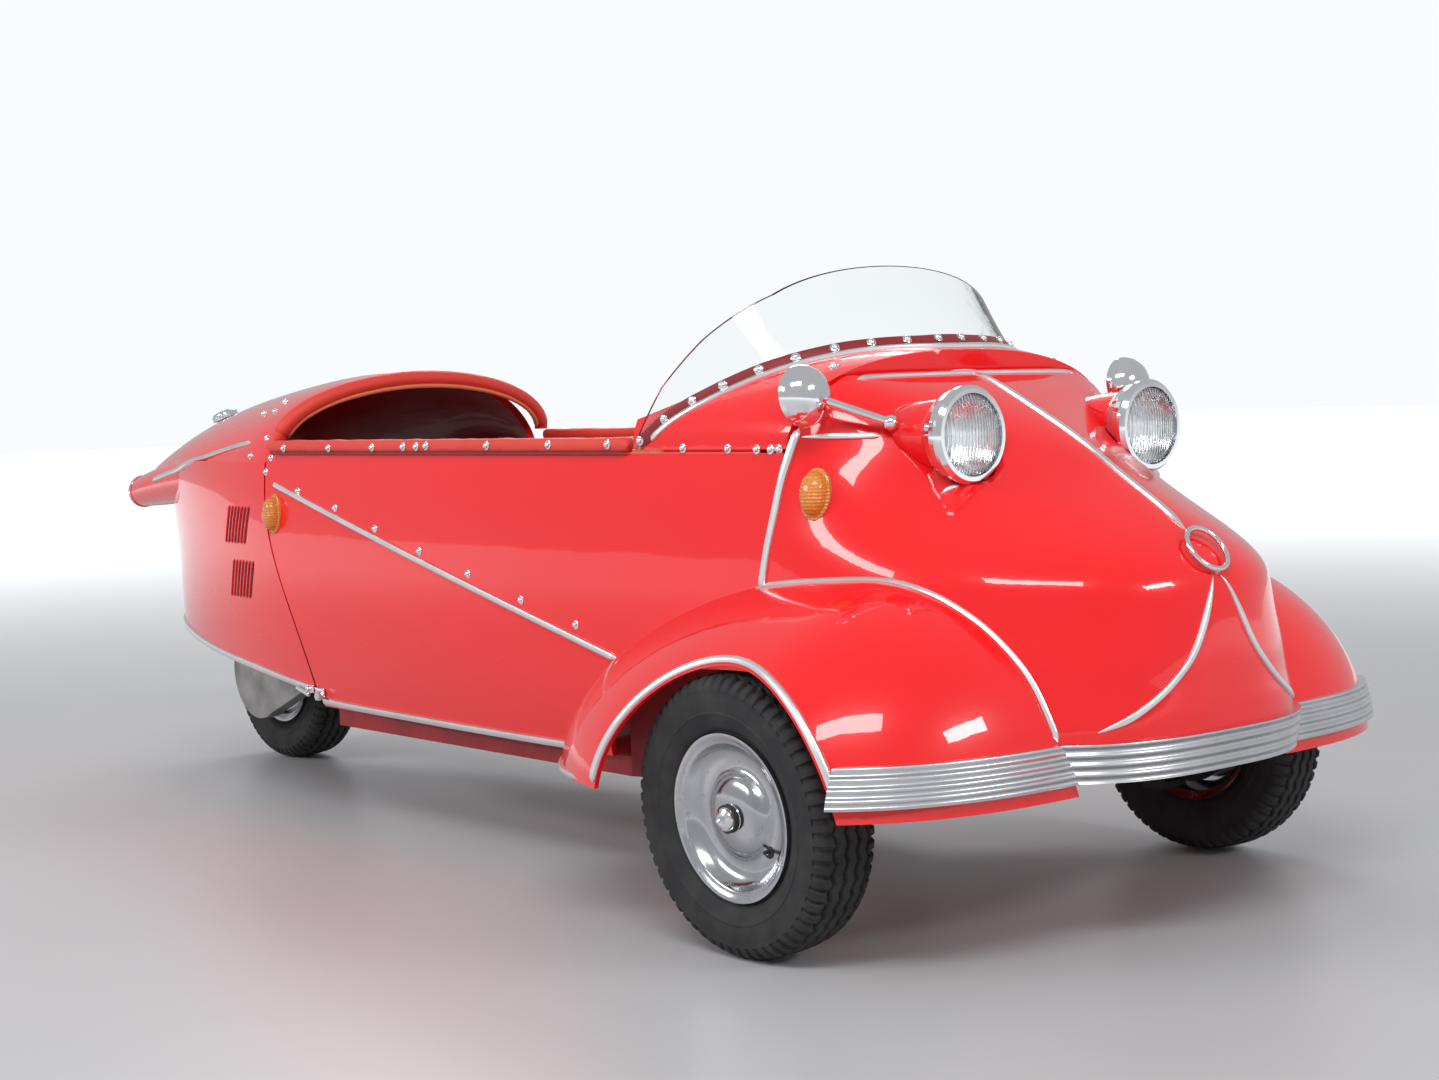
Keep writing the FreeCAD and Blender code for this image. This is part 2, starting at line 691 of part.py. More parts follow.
def soft_block(x, y0, y1, z0, z1, lean=0.0, radius=22.0):
    shape = box(-x, x, y0, y1, z0, z1)
    shape = shape.makeFillet(radius, shape.Edges)
    if lean:
        shape.rotate(vec(0, y0, z0), vec(1, 0, 0), -lean)
    return shape


def make_seats():
    lean = math.atan2(BULKHEAD_HEAD[0] - BULKHEAD_FOOT[0], BULKHEAD_HEAD[1] - BULKHEAD_FOOT[1])
    behind = BULKHEAD_FOOT[0] + (BACK_FOOT_Z - BULKHEAD_FOOT[1]) * math.tan(lean)
    rear_y = behind - (BACK_THICK + SEAT_GAP) / math.cos(lean)
    save("seat_front_cushion", soft_block(185, 560, 890, CUSHION_Z, BACK_FOOT_Z - 6))
    save("seat_front_back", soft_block(180, FRONT_BACK_Y, FRONT_BACK_Y + BACK_THICK, BACK_FOOT_Z, 690, FRONT_LEAN))
    save("seat_rear_cushion", soft_block(190, 1080, 1300, CUSHION_Z, BACK_FOOT_Z - 6))
    save("seat_rear_back", soft_block(200, rear_y, rear_y + BACK_THICK, BACK_FOOT_Z, 650, math.degrees(lean)))
    frames = []
    under = CUSHION_Z - SEAT_GAP
    for y0, y1 in ((575, 875), (1095, 1285)):
        frame = box(-165, 165, y0, y1, under - 24, under).cut(box(-140, 140, y0 + 25, y1 - 25, 270, 310))
        legs = [box(x, x + 25, y, y + 25, FLOOR_Z + FLOOR_SHEET, under - 20) for x in (-165, 140) for y in (y0, y1 - 25)]
        frames.append(frame.fuse(legs))
    turn = math.radians(FRONT_LEAN)
    up = vec(0, math.sin(turn), math.cos(turn))
    back = vec(0, math.cos(turn), -math.sin(turn))
    foot = vec(0, FRONT_BACK_Y, BACK_FOOT_Z) + back * (BACK_THICK + SEAT_GAP + POST_R)
    for x in (-120, 120):
        low, high = foot + up * -100 + vec(x, 0, 0), foot + up * 220 + vec(x, 0, 0)
        rail = box(x - 9, x + 9, 860, low.y + 8, under - 22, under - 4)
        frames[0] = frames[0].fuse([rod(low, high, POST_R), rail])
    save("seat_frames", *frames)


def make_dash(hull):
    panel = side_prism(((150, 600), (162, 600), (150, 740), (138, 740)), 400)
    room = hull["tub_in"].fuse(lid_solid(PANEL + 8))
    save("dashboard", panel.common(room))


def make_pedals():
    pads = []
    for x in (-110, 60, 130):
        pad = box(x - 28, x + 28, 20, 28, 235, 300)
        stem = box(x - 6, x + 6, 24, 36, FLOOR_Z + FLOOR_SHEET, 240)
        pads.append(pad.fuse(stem))
    save("pedals", *pads)


def make_rear():
    rails = [rod(vec(x, 1330, 232), vec(x, 1790, 232), 14.0) for x in (-150, 150)]
    cross = rod(vec(-150, 1750, 250), vec(150, 1750, 250), 13.0)
    frame = rails[0].fuse([rails[1], cross]).cut(bulkhead_sheet())
    save("rear_frame", largest(frame))
    save("engine_block", box(-120, 120, 1470, 1700, 246.3, 476))
    pivot, hub = vec(0, 1750, 250), vec(0, WHEELBASE, TYRE_R)
    def oval(x0, x1, r0, r1):
        a = rod(vec(x0, pivot.y, pivot.z), vec(x1, pivot.y, pivot.z), r0)
        b = rod(vec(x0, hub.y, hub.z), vec(x1, hub.y, hub.z), r1)
        slope = (hub - pivot)
        slope.normalize()
        up = vec(0, -slope.z, slope.y)
        corners = [pivot + up * r0, hub + up * r1, hub - up * r1, pivot - up * r0]
        web = Part.Face(polygon([vec(x0, c.y, c.z) for c in corners])).extrude(vec(x1 - x0, 0, 0))
        return a.fuse([b, web])
    case = oval(-96, -64, 48.0, 100.0)
    arm = oval(64, 76, 24.0, 30.0)
    axle = rod(vec(-70, hub.y, hub.z), vec(78, hub.y, hub.z), SPINDLE_R)
    sleeve = rod(vec(-70, pivot.y, pivot.z), vec(70, pivot.y, pivot.z), 22.0)
    swing = case.fuse([arm, axle, sleeve]).cut(rod(vec(-200, pivot.y, pivot.z), vec(200, pivot.y, pivot.z), 13.0))
    save("swing_arm", swing)
    can = rod(vec(190, 1500, 300), vec(190, 1880, 280), 42.0)
    pipe = rod(vec(120, 1560, 300), vec(190, 1560, 300), 15.0)
    outlet = rod(vec(190, 1870, 275), vec(150, 2180, 262), 13.0)
    save("exhaust", can.fuse([pipe, outlet]))


def make_bumper(hull):
    """Ribbed alloy strip that wraps the lower edge of the nose and of both fenders."""
    dome = hull["dome"]
    band = box(-700, 700, -600, BUMPER_END_Y, BUMPER_LOW_Z, BUMPER_HIGH_Z)
    side = fender_dome(-BUMPER_PROUD).common(band).cut(dome).cut(hull["nose"])
    side = largest(side)
    front = nose_solid(-BUMPER_PROUD).common(band).cut(hull["nose"])
    for part in (dome, mirrored(dome), side, mirrored(side)):
        front = front.cut(part)
    save("bumper_strip", side, mirrored(side), largest(front))


def belt_edge(offset):
    return [vec(scale * SIDE[-1][1] + offset, y, BELT_Z) for y, scale in TUB_STATIONS]


def make_belt():
    """Padded edging on top of both side walls."""
    outer, inner = belt_edge(BELT_PAD_OUT), belt_edge(BELT_PAD_OUT - BELT_PAD_W)
    inner.reverse()
    ring = Part.Wire([curve(outer), Part.makeLine(outer[-1], inner[0]), curve(inner), Part.makeLine(inner[-1], outer[0])])
    pad = Part.Face(ring).extrude(vec(0, 0, BELT_PAD_H))
    left = pad.common(box(0, 500, LID_REAR_Y + SEAM, BELT_PAD_END, 600, 800))
    save("belt_edging", left, mirrored(left))


def main():
    os.makedirs("parts", exist_ok=True)
    hull = hull_solids()
    make_nose(hull)
    make_fenders(hull)
    make_sides(hull)
    make_floor()
    make_liners()
    make_bulkhead(hull)
    make_tail(hull)
    make_lid()
    make_screen()
    make_hoop()
    make_headlamps()
    make_tail_lamps()
    make_mirrors(hull)
    make_bumper(hull)
    make_belt()
    make_wheels()
    make_knuckles()
    make_front_axle()
    make_steering()
    make_seats()
    make_dash(hull)
    make_pedals()
    make_rear()


main()
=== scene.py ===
import bpy
import bmesh
import math
from mathutils import Matrix, Vector, noise
from mathutils.bvhtree import BVHTree


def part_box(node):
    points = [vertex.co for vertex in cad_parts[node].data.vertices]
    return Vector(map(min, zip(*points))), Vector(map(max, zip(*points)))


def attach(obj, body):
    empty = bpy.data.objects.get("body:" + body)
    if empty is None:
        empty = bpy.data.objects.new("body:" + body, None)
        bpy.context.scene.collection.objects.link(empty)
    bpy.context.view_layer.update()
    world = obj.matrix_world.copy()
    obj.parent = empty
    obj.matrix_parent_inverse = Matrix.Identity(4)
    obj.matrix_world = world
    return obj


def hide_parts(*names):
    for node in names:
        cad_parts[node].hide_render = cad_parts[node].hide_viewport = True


# Looks of an open three-wheel tandem bubble car. Points are written in millimetres from the
# floor under the front axle, +Z up, nose to -Y, and at() brings them into the model's frame.

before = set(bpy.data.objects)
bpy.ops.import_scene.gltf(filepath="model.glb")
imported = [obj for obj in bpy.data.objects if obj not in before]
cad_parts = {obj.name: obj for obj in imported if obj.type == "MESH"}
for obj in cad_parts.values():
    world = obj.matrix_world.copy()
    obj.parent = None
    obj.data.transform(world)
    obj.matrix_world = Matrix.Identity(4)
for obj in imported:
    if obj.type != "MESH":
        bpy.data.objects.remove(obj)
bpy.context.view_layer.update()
FRONT_AXLE_Y = -0.9907


def at(x, y, z):
    return Vector((x / 1000, y / 1000 + FRONT_AXLE_Y, z / 1000))


# Camera, at the photograph's place

CAMERA_PLACE = (-2403.24, -2247.18, 741.32)
CAMERA_YAW = math.radians(39.99)
CAMERA_PITCH = math.radians(-3.69)
CAMERA_ROLL = math.radians(-1.84)
SENSOR_WIDTH = 36.0
FOCAL_LENGTH = 56.9


def make_camera():
    yaw, pitch, roll = CAMERA_YAW, CAMERA_PITCH, CAMERA_ROLL
    ahead = Vector((math.sin(yaw) * math.cos(pitch), math.cos(yaw) * math.cos(pitch), math.sin(pitch)))
    level = Vector((math.cos(yaw), -math.sin(yaw), 0))
    upright = level.cross(ahead)
    right = math.cos(roll) * level + math.sin(roll) * upright
    up = math.cos(roll) * upright - math.sin(roll) * level
    data = bpy.data.cameras.new("camera")
    data.sensor_width = SENSOR_WIDTH
    data.lens = FOCAL_LENGTH
    camera = bpy.data.objects.new("camera", data)
    turn = Matrix((right, up, -ahead)).transposed().to_4x4()
    camera.matrix_world = Matrix.Translation(at(*CAMERA_PLACE)) @ turn
    bpy.context.scene.collection.objects.link(camera)
    bpy.context.scene.camera = camera


# Materials

NOISE_ROUGHNESS = 0.55


class Sum:
    """A shader value, for maths written as plain expressions."""

    def __init__(self, finish, socket):
        self.finish = finish
        self.socket = socket

    def maths(self, operation, first, second=None):
        values = {0: first} if second is None else {0: first, 1: second}
        return self.finish.value("ShaderNodeMath", {"operation": operation}, values)

    def __add__(self, other):
        return self.maths("ADD", self, other)

    def __radd__(self, other):
        return self.maths("ADD", other, self)

    def __sub__(self, other):
        return self.maths("SUBTRACT", self, other)

    def __rsub__(self, other):
        return self.maths("SUBTRACT", other, self)

    def __mul__(self, other):
        return self.maths("MULTIPLY", self, other)

    def __rmul__(self, other):
        return self.maths("MULTIPLY", other, self)

    def __pow__(self, other):
        return self.maths("POWER", self, other)

    def wave(self):
        return self.maths("SINE", self)

    def over(self, edge, width):
        """0 below the edge, 1 above it, soft over the width."""
        low, high = edge - width / 2, edge + width / 2
        return self.finish.value("ShaderNodeMapRange", {"interpolation_type": "SMOOTHSTEP"},
                                 {"Value": self, "From Min": low, "From Max": high})


class Finish:
    """One material: a Principled shader and the nodes that feed it."""

    def __init__(self, name, **sockets):
        self.material = bpy.data.materials.new(name)
        self.material.use_nodes = True
        self.tree = self.material.node_tree
        self.shader = self.tree.nodes["Principled BSDF"]
        self.sockets(self.shader, {key.replace("_", " "): value for key, value in sockets.items()})
        self.coords = None

    def sockets(self, node, values):
        for key, value in values.items():
            socket = node.inputs[key]
            if isinstance(value, Sum):
                self.tree.links.new(value.socket, socket)
            elif hasattr(socket.default_value, "__len__") and len(value) == 3 and socket.type == "RGBA":
                socket.default_value = (*value, 1.0)
            else:
                socket.default_value = value

    def node(self, kind, settings, values):
        made = self.tree.nodes.new(kind)
        for key, value in settings.items():
            if key == "stops":
                ramp = made.color_ramp
                while len(ramp.elements) < len(value):
                    ramp.elements.new(0.5)
                for element, (place, colour) in zip(ramp.elements, value):
                    element.position = place
                    element.color = (*colour, 1.0)
            else:
                setattr(made, key, value)
        self.sockets(made, values)
        return made

    def value(self, kind, settings, values, output=0):
        return Sum(self, self.node(kind, settings, values).outputs[output])

    def place(self):
        if self.coords is None:
            self.coords = self.value("ShaderNodeTexCoord", {}, {}, "Object")
        return self.coords

    def stretched(self, scale):
        return self.value("ShaderNodeMapping", {}, {"Vector": self.place(), "Scale": scale})

    def noise(self, scale, detail=3.0, stretch=None):
        where = self.place() if stretch is None else self.stretched(stretch)
        values = {"Vector": where, "Scale": scale, "Detail": detail, "Roughness": NOISE_ROUGHNESS}
        return self.value("ShaderNodeTexNoise", {}, values, "Fac")

    def cells(self, scale):
        values = {"Vector": self.place(), "Scale": scale}
        return self.value("ShaderNodeTexVoronoi", {"feature": "F1"}, values)

    def axis(self, letter):
        return self.value("ShaderNodeSeparateXYZ", {}, {0: self.place()}, letter)

    def colour(self, factor, stops):
        return self.value("ShaderNodeValToRGB", {"stops": stops}, {0: factor})

    def mixed(self, factor, first, second):
        settings = {"data_type": "RGBA", "blend_type": "MIX"}
        node = self.node("ShaderNodeMix", settings, {0: factor, 6: first, 7: second})
        return Sum(self, node.outputs[2])

    def bump(self, height, distance, strength=1.0):
        values = {"Height": height, "Distance": distance, "Strength": strength}
        self.feed(Normal=self.value("ShaderNodeBump", {}, values))

    def feed(self, **values):
        self.sockets(self.shader, {key.replace("_", " "): value for key, value in values.items()})


DUST_HEIGHT = 0.25
BELT_HEIGHT = 0.45


def body_paint(name, shaded_inside=False):
    """Red paint, dusty low down; with the flag set, the inside of a hollow shell gets painted shade: dark
    red, with lighter and darker folds as painted fold highlights and shade.
    """
    f = Finish(name, Metallic=0.0, Coat_Weight=0.9, Coat_Roughness=0.03, Coat_IOR=1.5,
               Specular_IOR_Level=0.2)
    cloud = f.noise(2.2, 2.0)
    dust = f.noise(5.0, 2.0) * (1 - f.axis("Z").over(DUST_HEIGHT, 0.40))
    shade = f.mixed(cloud, (0.86, 0.004, 0.008), (0.93, 0.007, 0.010))
    paint = f.mixed(dust * 0.10, shade, (0.32, 0.20, 0.17))
    height = f.noise(160.0, 1.0)
    if shaded_inside:
        # Painted shade: inside faces are coloured dark red for the shaded hollow. The fold noise paints fold
        # highlights and shade, and it also bumps the folds.
        normal = f.value("ShaderNodeTexCoord", {}, {}, "Normal")
        across = f.value("ShaderNodeSeparateXYZ", {}, {0: normal}, "X") * f.axis("X")
        upward = f.value("ShaderNodeSeparateXYZ", {}, {0: normal}, "Z") * (f.axis("Z") - BELT_HEIGHT)
        outside = (across + upward).over(-0.03, 0.02)
        fold_relief_and_shade = f.noise(11.0, 3.0, (1.0, 0.35, 1.4))
        paint = f.mixed(outside, f.mixed(fold_relief_and_shade, (0.14, 0.003, 0.005), (0.50, 0.008, 0.014)), paint)
        height = height * outside * 0.03 + fold_relief_and_shade * (1 - outside)
        f.bump(height, 0.012, 0.5)
        f.feed(Coat_Weight=outside * 0.75 + 0.25)
    else:
        f.bump(height, 0.0004, 0.12)
    f.feed(Base_Color=paint, Roughness=0.24 + dust * 0.16 + cloud * 0.04)
    return f.material


def inner_paint():
    f = Finish("floor_red", Metallic=0.0, Coat_Weight=0.15, Coat_Roughness=0.3)
    grit = f.noise(60.0, 6.0)
    soil = f.noise(6.0, 4.0).over(0.55, 0.3)
    f.feed(Base_Color=f.mixed(soil * 0.5, (0.30, 0.006, 0.010), (0.10, 0.012, 0.010)),
           Roughness=0.45 + grit * 0.3)
    f.bump(grit, 0.0006, 0.25)
    return f.material


def alloy_trim():
    f = Finish("alloy", Metallic=1.0)
    brush = f.noise(420.0, 2.0, (1.0, 0.06, 1.0))
    haze = f.noise(14.0, 3.0)
    f.feed(Base_Color=f.colour(haze, ((0.2, (0.80, 0.80, 0.81)), (0.8, (0.92, 0.92, 0.92)))),
           Roughness=0.24 + brush * 0.12 + haze * 0.08)
    f.bump(brush, 0.0002, 0.15)
    return f.material


def ribbed_alloy():
    """The bumper strip, with its grooves."""
    f = Finish("strip_alloy", Metallic=1.0)
    streak = f.noise(220.0, 3.0, (0.1, 0.1, 1.0))
    wear = f.noise(9.0, 4.0)
    f.feed(Base_Color=f.colour(wear, ((0.25, (0.62, 0.63, 0.66)), (0.75, (0.80, 0.81, 0.84)))),
           Roughness=0.22 + streak * 0.16)
    ribs = (f.axis("Z") * 492.0 + 1.3).wave()
    f.bump(ribs + streak * 0.1, 0.0022, 0.9)
    return f.material


def bright_metal(name, low, high, rough):
    f = Finish(name, Metallic=1.0)
    haze = f.noise(22.0, 3.0)
    fine = f.noise(600.0, 1.0)
    f.feed(Base_Color=f.colour(haze, ((0.2, low), (0.8, high))),
           Roughness=rough + haze * 0.05 + fine * 0.03)
    f.bump(haze, 0.0008, 0.05)
    return f.material


def wheel_metal():
    f = Finish("wheel_disc", Metallic=1.0)
    haze = f.noise(10.0, 4.0)
    spots = f.noise(75.0, 3.0).over(0.66, 0.1)
    clean = f.colour(haze, ((0.2, (0.42, 0.43, 0.46)), (0.8, (0.64, 0.65, 0.68))))
    f.feed(Base_Color=f.mixed(spots * 0.3, clean, (0.30, 0.29, 0.28)),
           Roughness=0.10 + haze * 0.12 + spots * 0.2)
    f.bump(f.noise(90.0, 3.0), 0.0004, 0.06)
    return f.material


def dark_steel(name, tone, rough, metallic=0.6):
    f = Finish(name)
    grime = f.noise(30.0, 5.0)
    chips = f.noise(140.0, 3.0).over(0.68, 0.06)
    dark = tuple(c * 0.55 for c in tone)
    worn = tuple(min(1.0, c * 2.2 + 0.05) for c in tone)
    f.feed(Base_Color=f.mixed(chips * 0.6, f.mixed(grime, dark, tone), worn),
           Metallic=metallic - grime * 0.2, Roughness=rough + grime * 0.2)
    f.bump(f.noise(220.0, 4.0), 0.0006, 0.4)
    return f.material


def cast_metal():
    f = Finish("cast_metal")
    grain = f.noise(260.0, 4.0)
    stain = f.noise(12.0, 5.0)
    tones = ((0.25, (0.20, 0.19, 0.18)), (0.6, (0.44, 0.43, 0.42)), (0.9, (0.55, 0.54, 0.53)))
    f.feed(Base_Color=f.colour(stain, tones), Metallic=0.75 - stain * 0.2, Roughness=0.42 + stain * 0.2)
    f.bump(grain, 0.0008, 0.5)
    return f.material


def tyre_rubber():
    f = Finish("tyre_rubber", Metallic=0.0, Specular_IOR_Level=0.35)
    dust = f.noise(24.0, 5.0)
    fine = f.noise(300.0, 3.0)
    f.feed(Base_Color=f.mixed(dust.over(0.52, 0.35) * 0.5, (0.024, 0.024, 0.026), (0.055, 0.054, 0.053)),
           Roughness=0.55 + fine * 0.2 + dust * 0.12)
    f.bump(fine, 0.0004, 0.4)
    return f.material


def black_rubber():
    f = Finish("black_rubber", Metallic=0.0)
    fine = f.noise(240.0, 3.0)
    f.feed(Base_Color=f.mixed(fine, (0.014, 0.014, 0.015), (0.035, 0.034, 0.034)),
           Roughness=0.5 + fine * 0.25)
    f.bump(f.cells(700.0), 0.0005, 0.4)
    return f.material


def vinyl(name, light, dark, grain):
    """Coated cloth with a fine leather grain, soft creases and a slight sheen."""
    f = Finish(name, Metallic=0.0, Sheen_Weight=0.08, Sheen_Roughness=0.5, Specular_IOR_Level=0.5)
    pores = f.cells(grain)
    crease = f.noise(26.0, 5.0)
    tone = f.noise(7.0, 3.0)
    f.feed(Base_Color=f.mixed(tone * 0.7 + pores * 0.3, dark, light),
           Roughness=0.36 + crease * 0.2 + pores * 0.12)
    f.bump(pores * 0.25 + crease, 0.0016, 0.35)
    return f.material


def clear_glass():
    f = Finish("screen_glass", Metallic=0.0, Transmission_Weight=1.0, IOR=1.45, Roughness=0.0)
    smear = f.noise(9.0, 4.0)
    f.feed(Base_Color=f.mixed(smear, (0.93, 0.97, 0.96), (0.98, 1.0, 0.99)),
           Roughness=smear.over(0.62, 0.3) * 0.03)
    f.bump(f.noise(4.0, 1.0), 0.0006, 0.05)
    return f.material


def fluted_glass():
    f = Finish("lamp_glass", Metallic=0.0, Transmission_Weight=1.0, IOR=1.45)
    ribs = (f.axis("X") * 1150.0).wave()
    cross = (f.axis("Z") * 260.0).wave()
    f.feed(Base_Color=f.mixed(f.noise(40.0), (0.92, 0.95, 0.96), (1.0, 1.0, 1.0)),
           Roughness=0.03 + f.noise(90.0) * 0.03)
    f.bump(ribs * 0.5 + cross * 0.25 + 1.0, 0.0012, 0.8)
    return f.material


def coloured_lens(name, light, dark, pitch):
    """A moulded lens with a grid of small ribs."""
    f = Finish(name, Metallic=0.0, Transmission_Weight=0.3, IOR=1.49, Coat_Weight=0.6, Coat_Roughness=0.05)
    ribs = (f.axis("Z") * pitch).wave()
    grid = (f.axis("Y") * pitch).wave()
    depth = f.noise(60.0, 3.0)
    f.feed(Base_Color=f.mixed(depth * 0.6 + ribs * 0.2 + 0.1, dark, light),
           Roughness=0.12 + depth * 0.12)
    f.bump(ribs * 0.5 + grid * 0.4, 0.0009, 0.7)
    return f.material


def mirror_silver():
    f = Finish("mirror_glass", Metallic=1.0)
    haze = f.noise(18.0, 3.0)
    f.feed(Base_Color=f.mixed(haze, (0.86, 0.88, 0.90), (0.93, 0.94, 0.95)), Roughness=0.02 + haze * 0.02)
    return f.material


make_camera()
PAINT = body_paint("body_red")
# The tail's paint carries painted shade and painted fold highlights on the inside of the shell.
TAIL_PAINT = body_paint("tail_red", shaded_inside=True)
INNER = inner_paint()
ALLOY = alloy_trim()
STRIP = ribbed_alloy()
CHROME = bright_metal("chrome", (0.78, 0.79, 0.81), (0.88, 0.89, 0.91), 0.05)
DISC = wheel_metal()
STEEL = dark_steel("running_steel", (0.055, 0.055, 0.06), 0.45)
EXHAUST = dark_steel("exhaust_steel", (0.20, 0.17, 0.15), 0.40, 0.85)
CAST = cast_metal()
TYRE = tyre_rubber()
RUBBER = black_rubber()
VINYL_RED = vinyl("red_vinyl", (0.82, 0.055, 0.030), (0.62, 0.030, 0.020), 900.0)
VINYL_TAN = vinyl("tan_vinyl", (0.80, 0.235, 0.095), (0.62, 0.150, 0.060), 700.0)
VINYL_DARK = vinyl("lining_vinyl", (0.30, 0.004, 0.010), (0.16, 0.003, 0.006), 500.0)
GLASS = clear_glass()
LAMP = fluted_glass()
AMBER = coloured_lens("amber_lens", (1.0, 0.42, 0.05), (0.85, 0.24, 0.02), 1300.0)
RED_LENS = coloured_lens("red_lens", (0.75, 0.02, 0.01), (0.35, 0.004, 0.004), 1100.0)
SILVER = mirror_silver()

NODE_LOOKS = {
    "nose_shell": PAINT, "fender_left": PAINT, "fender_right": PAINT, "side_panel_left": PAINT,
    "side_panel_right": PAINT, "tail_shell": TAIL_PAINT, "cowl_lid": PAINT, "rear_hoop": VINYL_RED,
    "floor_pan": INNER, "arch_liner_left": INNER, "arch_liner_right": INNER, "rear_bulkhead": INNER,
    "dashboard": INNER, "bumper_strip": STRIP, "headlamp_rims": CHROME, "headlamp_lenses": LAMP,
    "tail_lamp_rims": CHROME, "tail_lamp_lenses": RED_LENS, "mirrors": CHROME,
    "windscreen": GLASS,
    "front_axle": STEEL, "knuckle_left": STEEL, "knuckle_right": STEEL, "track_rod_left": STEEL,
    "track_rod_right": STEEL, "steering_arm": STEEL, "steering_box": CAST, "steering_bar": RUBBER,
    "rear_frame": STEEL, "swing_arm": CAST, "engine_block": CAST, "exhaust": EXHAUST, "pedals": RUBBER,
    "seat_frames": STEEL, "wheel_front_left": DISC, "wheel_front_right": DISC, "wheel_rear": DISC,
    "belt_edging": VINYL_RED, "tyre_front_left": TYRE, "tyre_front_right": TYRE,
    "tyre_rear": TYRE, "seat_front_cushion": VINYL_TAN, "seat_front_back": VINYL_TAN,
    "seat_rear_cushion": VINYL_TAN, "seat_rear_back": VINYL_TAN,
}
for node, look in NODE_LOOKS.items():
    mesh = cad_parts[node].data
    mesh.materials.clear()
    mesh.materials.append(look)


# Making pieces

def finished(name, bm, look, body, smooth=40.0):
    """A piece from its mesh, smooth but for edges sharper than the angle, riding on a body."""
    mesh = bpy.data.meshes.new(name)
    bmesh.ops.recalc_face_normals(bm, faces=bm.faces)
    for face in bm.faces:
        face.smooth = True
    for edge in bm.edges:
        if len(edge.link_faces) == 2 and edge.calc_face_angle() > math.radians(smooth):
            edge.smooth = False
    bm.to_mesh(mesh)
    bm.free()
    mesh.materials.append(look)
    piece = bpy.data.objects.new(name, mesh)
    bpy.context.scene.collection.objects.link(piece)
    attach(piece, body)
    return piece


def joined(bm, part):
    """The part's mesh added to a piece's mesh, or the start of a new piece."""
    if bm is None:
        return part
    scratch = bpy.data.meshes.new("scratch")
    part.to_mesh(scratch)
    part.free()
    bm.from_mesh(scratch)
    bpy.data.meshes.remove(scratch)
    return bm


def spun(profile, steps, matrix=None, bm=None):
    """A full turn of (radius, along) points about local Z, put in place by the matrix."""
    made = bmesh.new()
    verts = [made.verts.new((radius / 1000, 0, along / 1000)) for radius, along in profile]
    edges = [made.edges.new(pair) for pair in zip(verts, verts[1:])]
    bmesh.ops.spin(made, geom=verts + edges, cent=(0, 0, 0), axis=(0, 0, 1), angle=math.tau,
                   steps=steps, use_merge=True)
    bmesh.ops.remove_doubles(made, verts=made.verts, dist=0.000005)
    if matrix is not None:
        bmesh.ops.transform(made, matrix=matrix, verts=made.verts)
    return joined(bm, made)


def boxed(bm, place, sizes, matrix=Matrix(), bevel=1.5):
    """A block with rounded edges, added to a piece's mesh."""
    block = bmesh.new()
    bmesh.ops.create_cube(block, size=1.0)
    scale = Matrix.Diagonal((*(size / 1000 for size in sizes), 1.0))
    bmesh.ops.transform(block, matrix=scale, verts=block.verts)
    bmesh.ops.bevel(block, geom=block.edges[:], offset=bevel / 1000, segments=3, profile=0.5,
                    affect="EDGES", material=-1)
    bmesh.ops.transform(block, matrix=Matrix.Translation(place) @ matrix, verts=block.verts)
    joined(bm, block)


def facing(place, direction):
    """Frame at a place whose local Z points in the direction."""
    z = Vector(direction).normalized()
    hint = Vector((0, 0, 1)) if abs(z.z) < 0.9 else Vector((0, 1, 0))
    x = hint.cross(z).normalized()
    y = z.cross(x)
    return Matrix.Translation(place) @ Matrix((x, y, z)).transposed().to_4x4()


class Skin:
    """The outside of a CAD node, to lay strips and studs on."""

    # A probe starts this far before its point and reaches this far; four more stand this far off it
    before = 0.35
    reach = 0.7
    spread = 0.005

    def __init__(self, node):
        bm = bmesh.new()
        bm.from_mesh(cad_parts[node].data)
        bmesh.ops.remove_doubles(bm, verts=bm.verts, dist=0.00001)
        self.tree = BVHTree.FromBMesh(bm)
        bm.free()

    def hit(self, point, toward):
        """Where a line through the point meets the skin, and the skin's direction round there."""
        toward = Vector(toward).normalized()
        side = toward.orthogonal().normalized()
        other = toward.cross(side)
        place, normals = None, Vector()
        for a, b in ((0, 0), (1, 0), (-1, 0), (0, 1), (0, -1)):
            start = point - toward * self.before + (side * a + other * b) * self.spread
            spot, normal, _, _ = self.tree.ray_cast(start, toward, self.reach)
            if spot is None:
                continue
            if (a, b) == (0, 0):
                place = spot
            if normal.dot(toward) > 0:
                normal = -normal
            normals += normal
        return place, (normals.normalized() if normals.length else -toward)


def smooth_line(points, spacing=7.0):
    """Points along a smooth curve through the given ones, in millimetres."""
    points = [Vector(p) for p in points]
    padded = [points[0] * 2 - points[1]] + points + [points[-1] * 2 - points[-2]]
    line = []
    for a, b, c, d in zip(padded, padded[1:], padded[2:], padded[3:]):
        count = max(1, round((c - b).length / spacing))
        for step in range(count):
            t = step / count
            line.append(0.5 * (2 * b + (c - a) * t + (2 * a - 5 * b + 4 * c - d) * t * t
                               + (3 * b - a - 3 * c + d) * t * t * t))
    return line + [points[-1]]


def laid(skin, points, toward, spacing=7.0):
    """Places and outward directions along a line laid on a skin."""
    found = []
    for point in smooth_line(points, spacing):
        direction = toward(point) if callable(toward) else toward
        place, normal = skin.hit(at(*point), direction)
        if place is not None:
            found.append((place, normal))
    return found


def direct(points, normals, spacing=6.0):
    """A line through points set down as they are, with directions shared out along it."""
    line = smooth_line(points, spacing)
    count = len(normals) - 1
    found = []
    for index, point in enumerate(line):
        t = index / (len(line) - 1) * count
        low = min(int(t), count - 1)
        normal = Vector(normals[low]).lerp(Vector(normals[low + 1]), t - low).normalized()
        found.append((at(*point), normal))
    return found


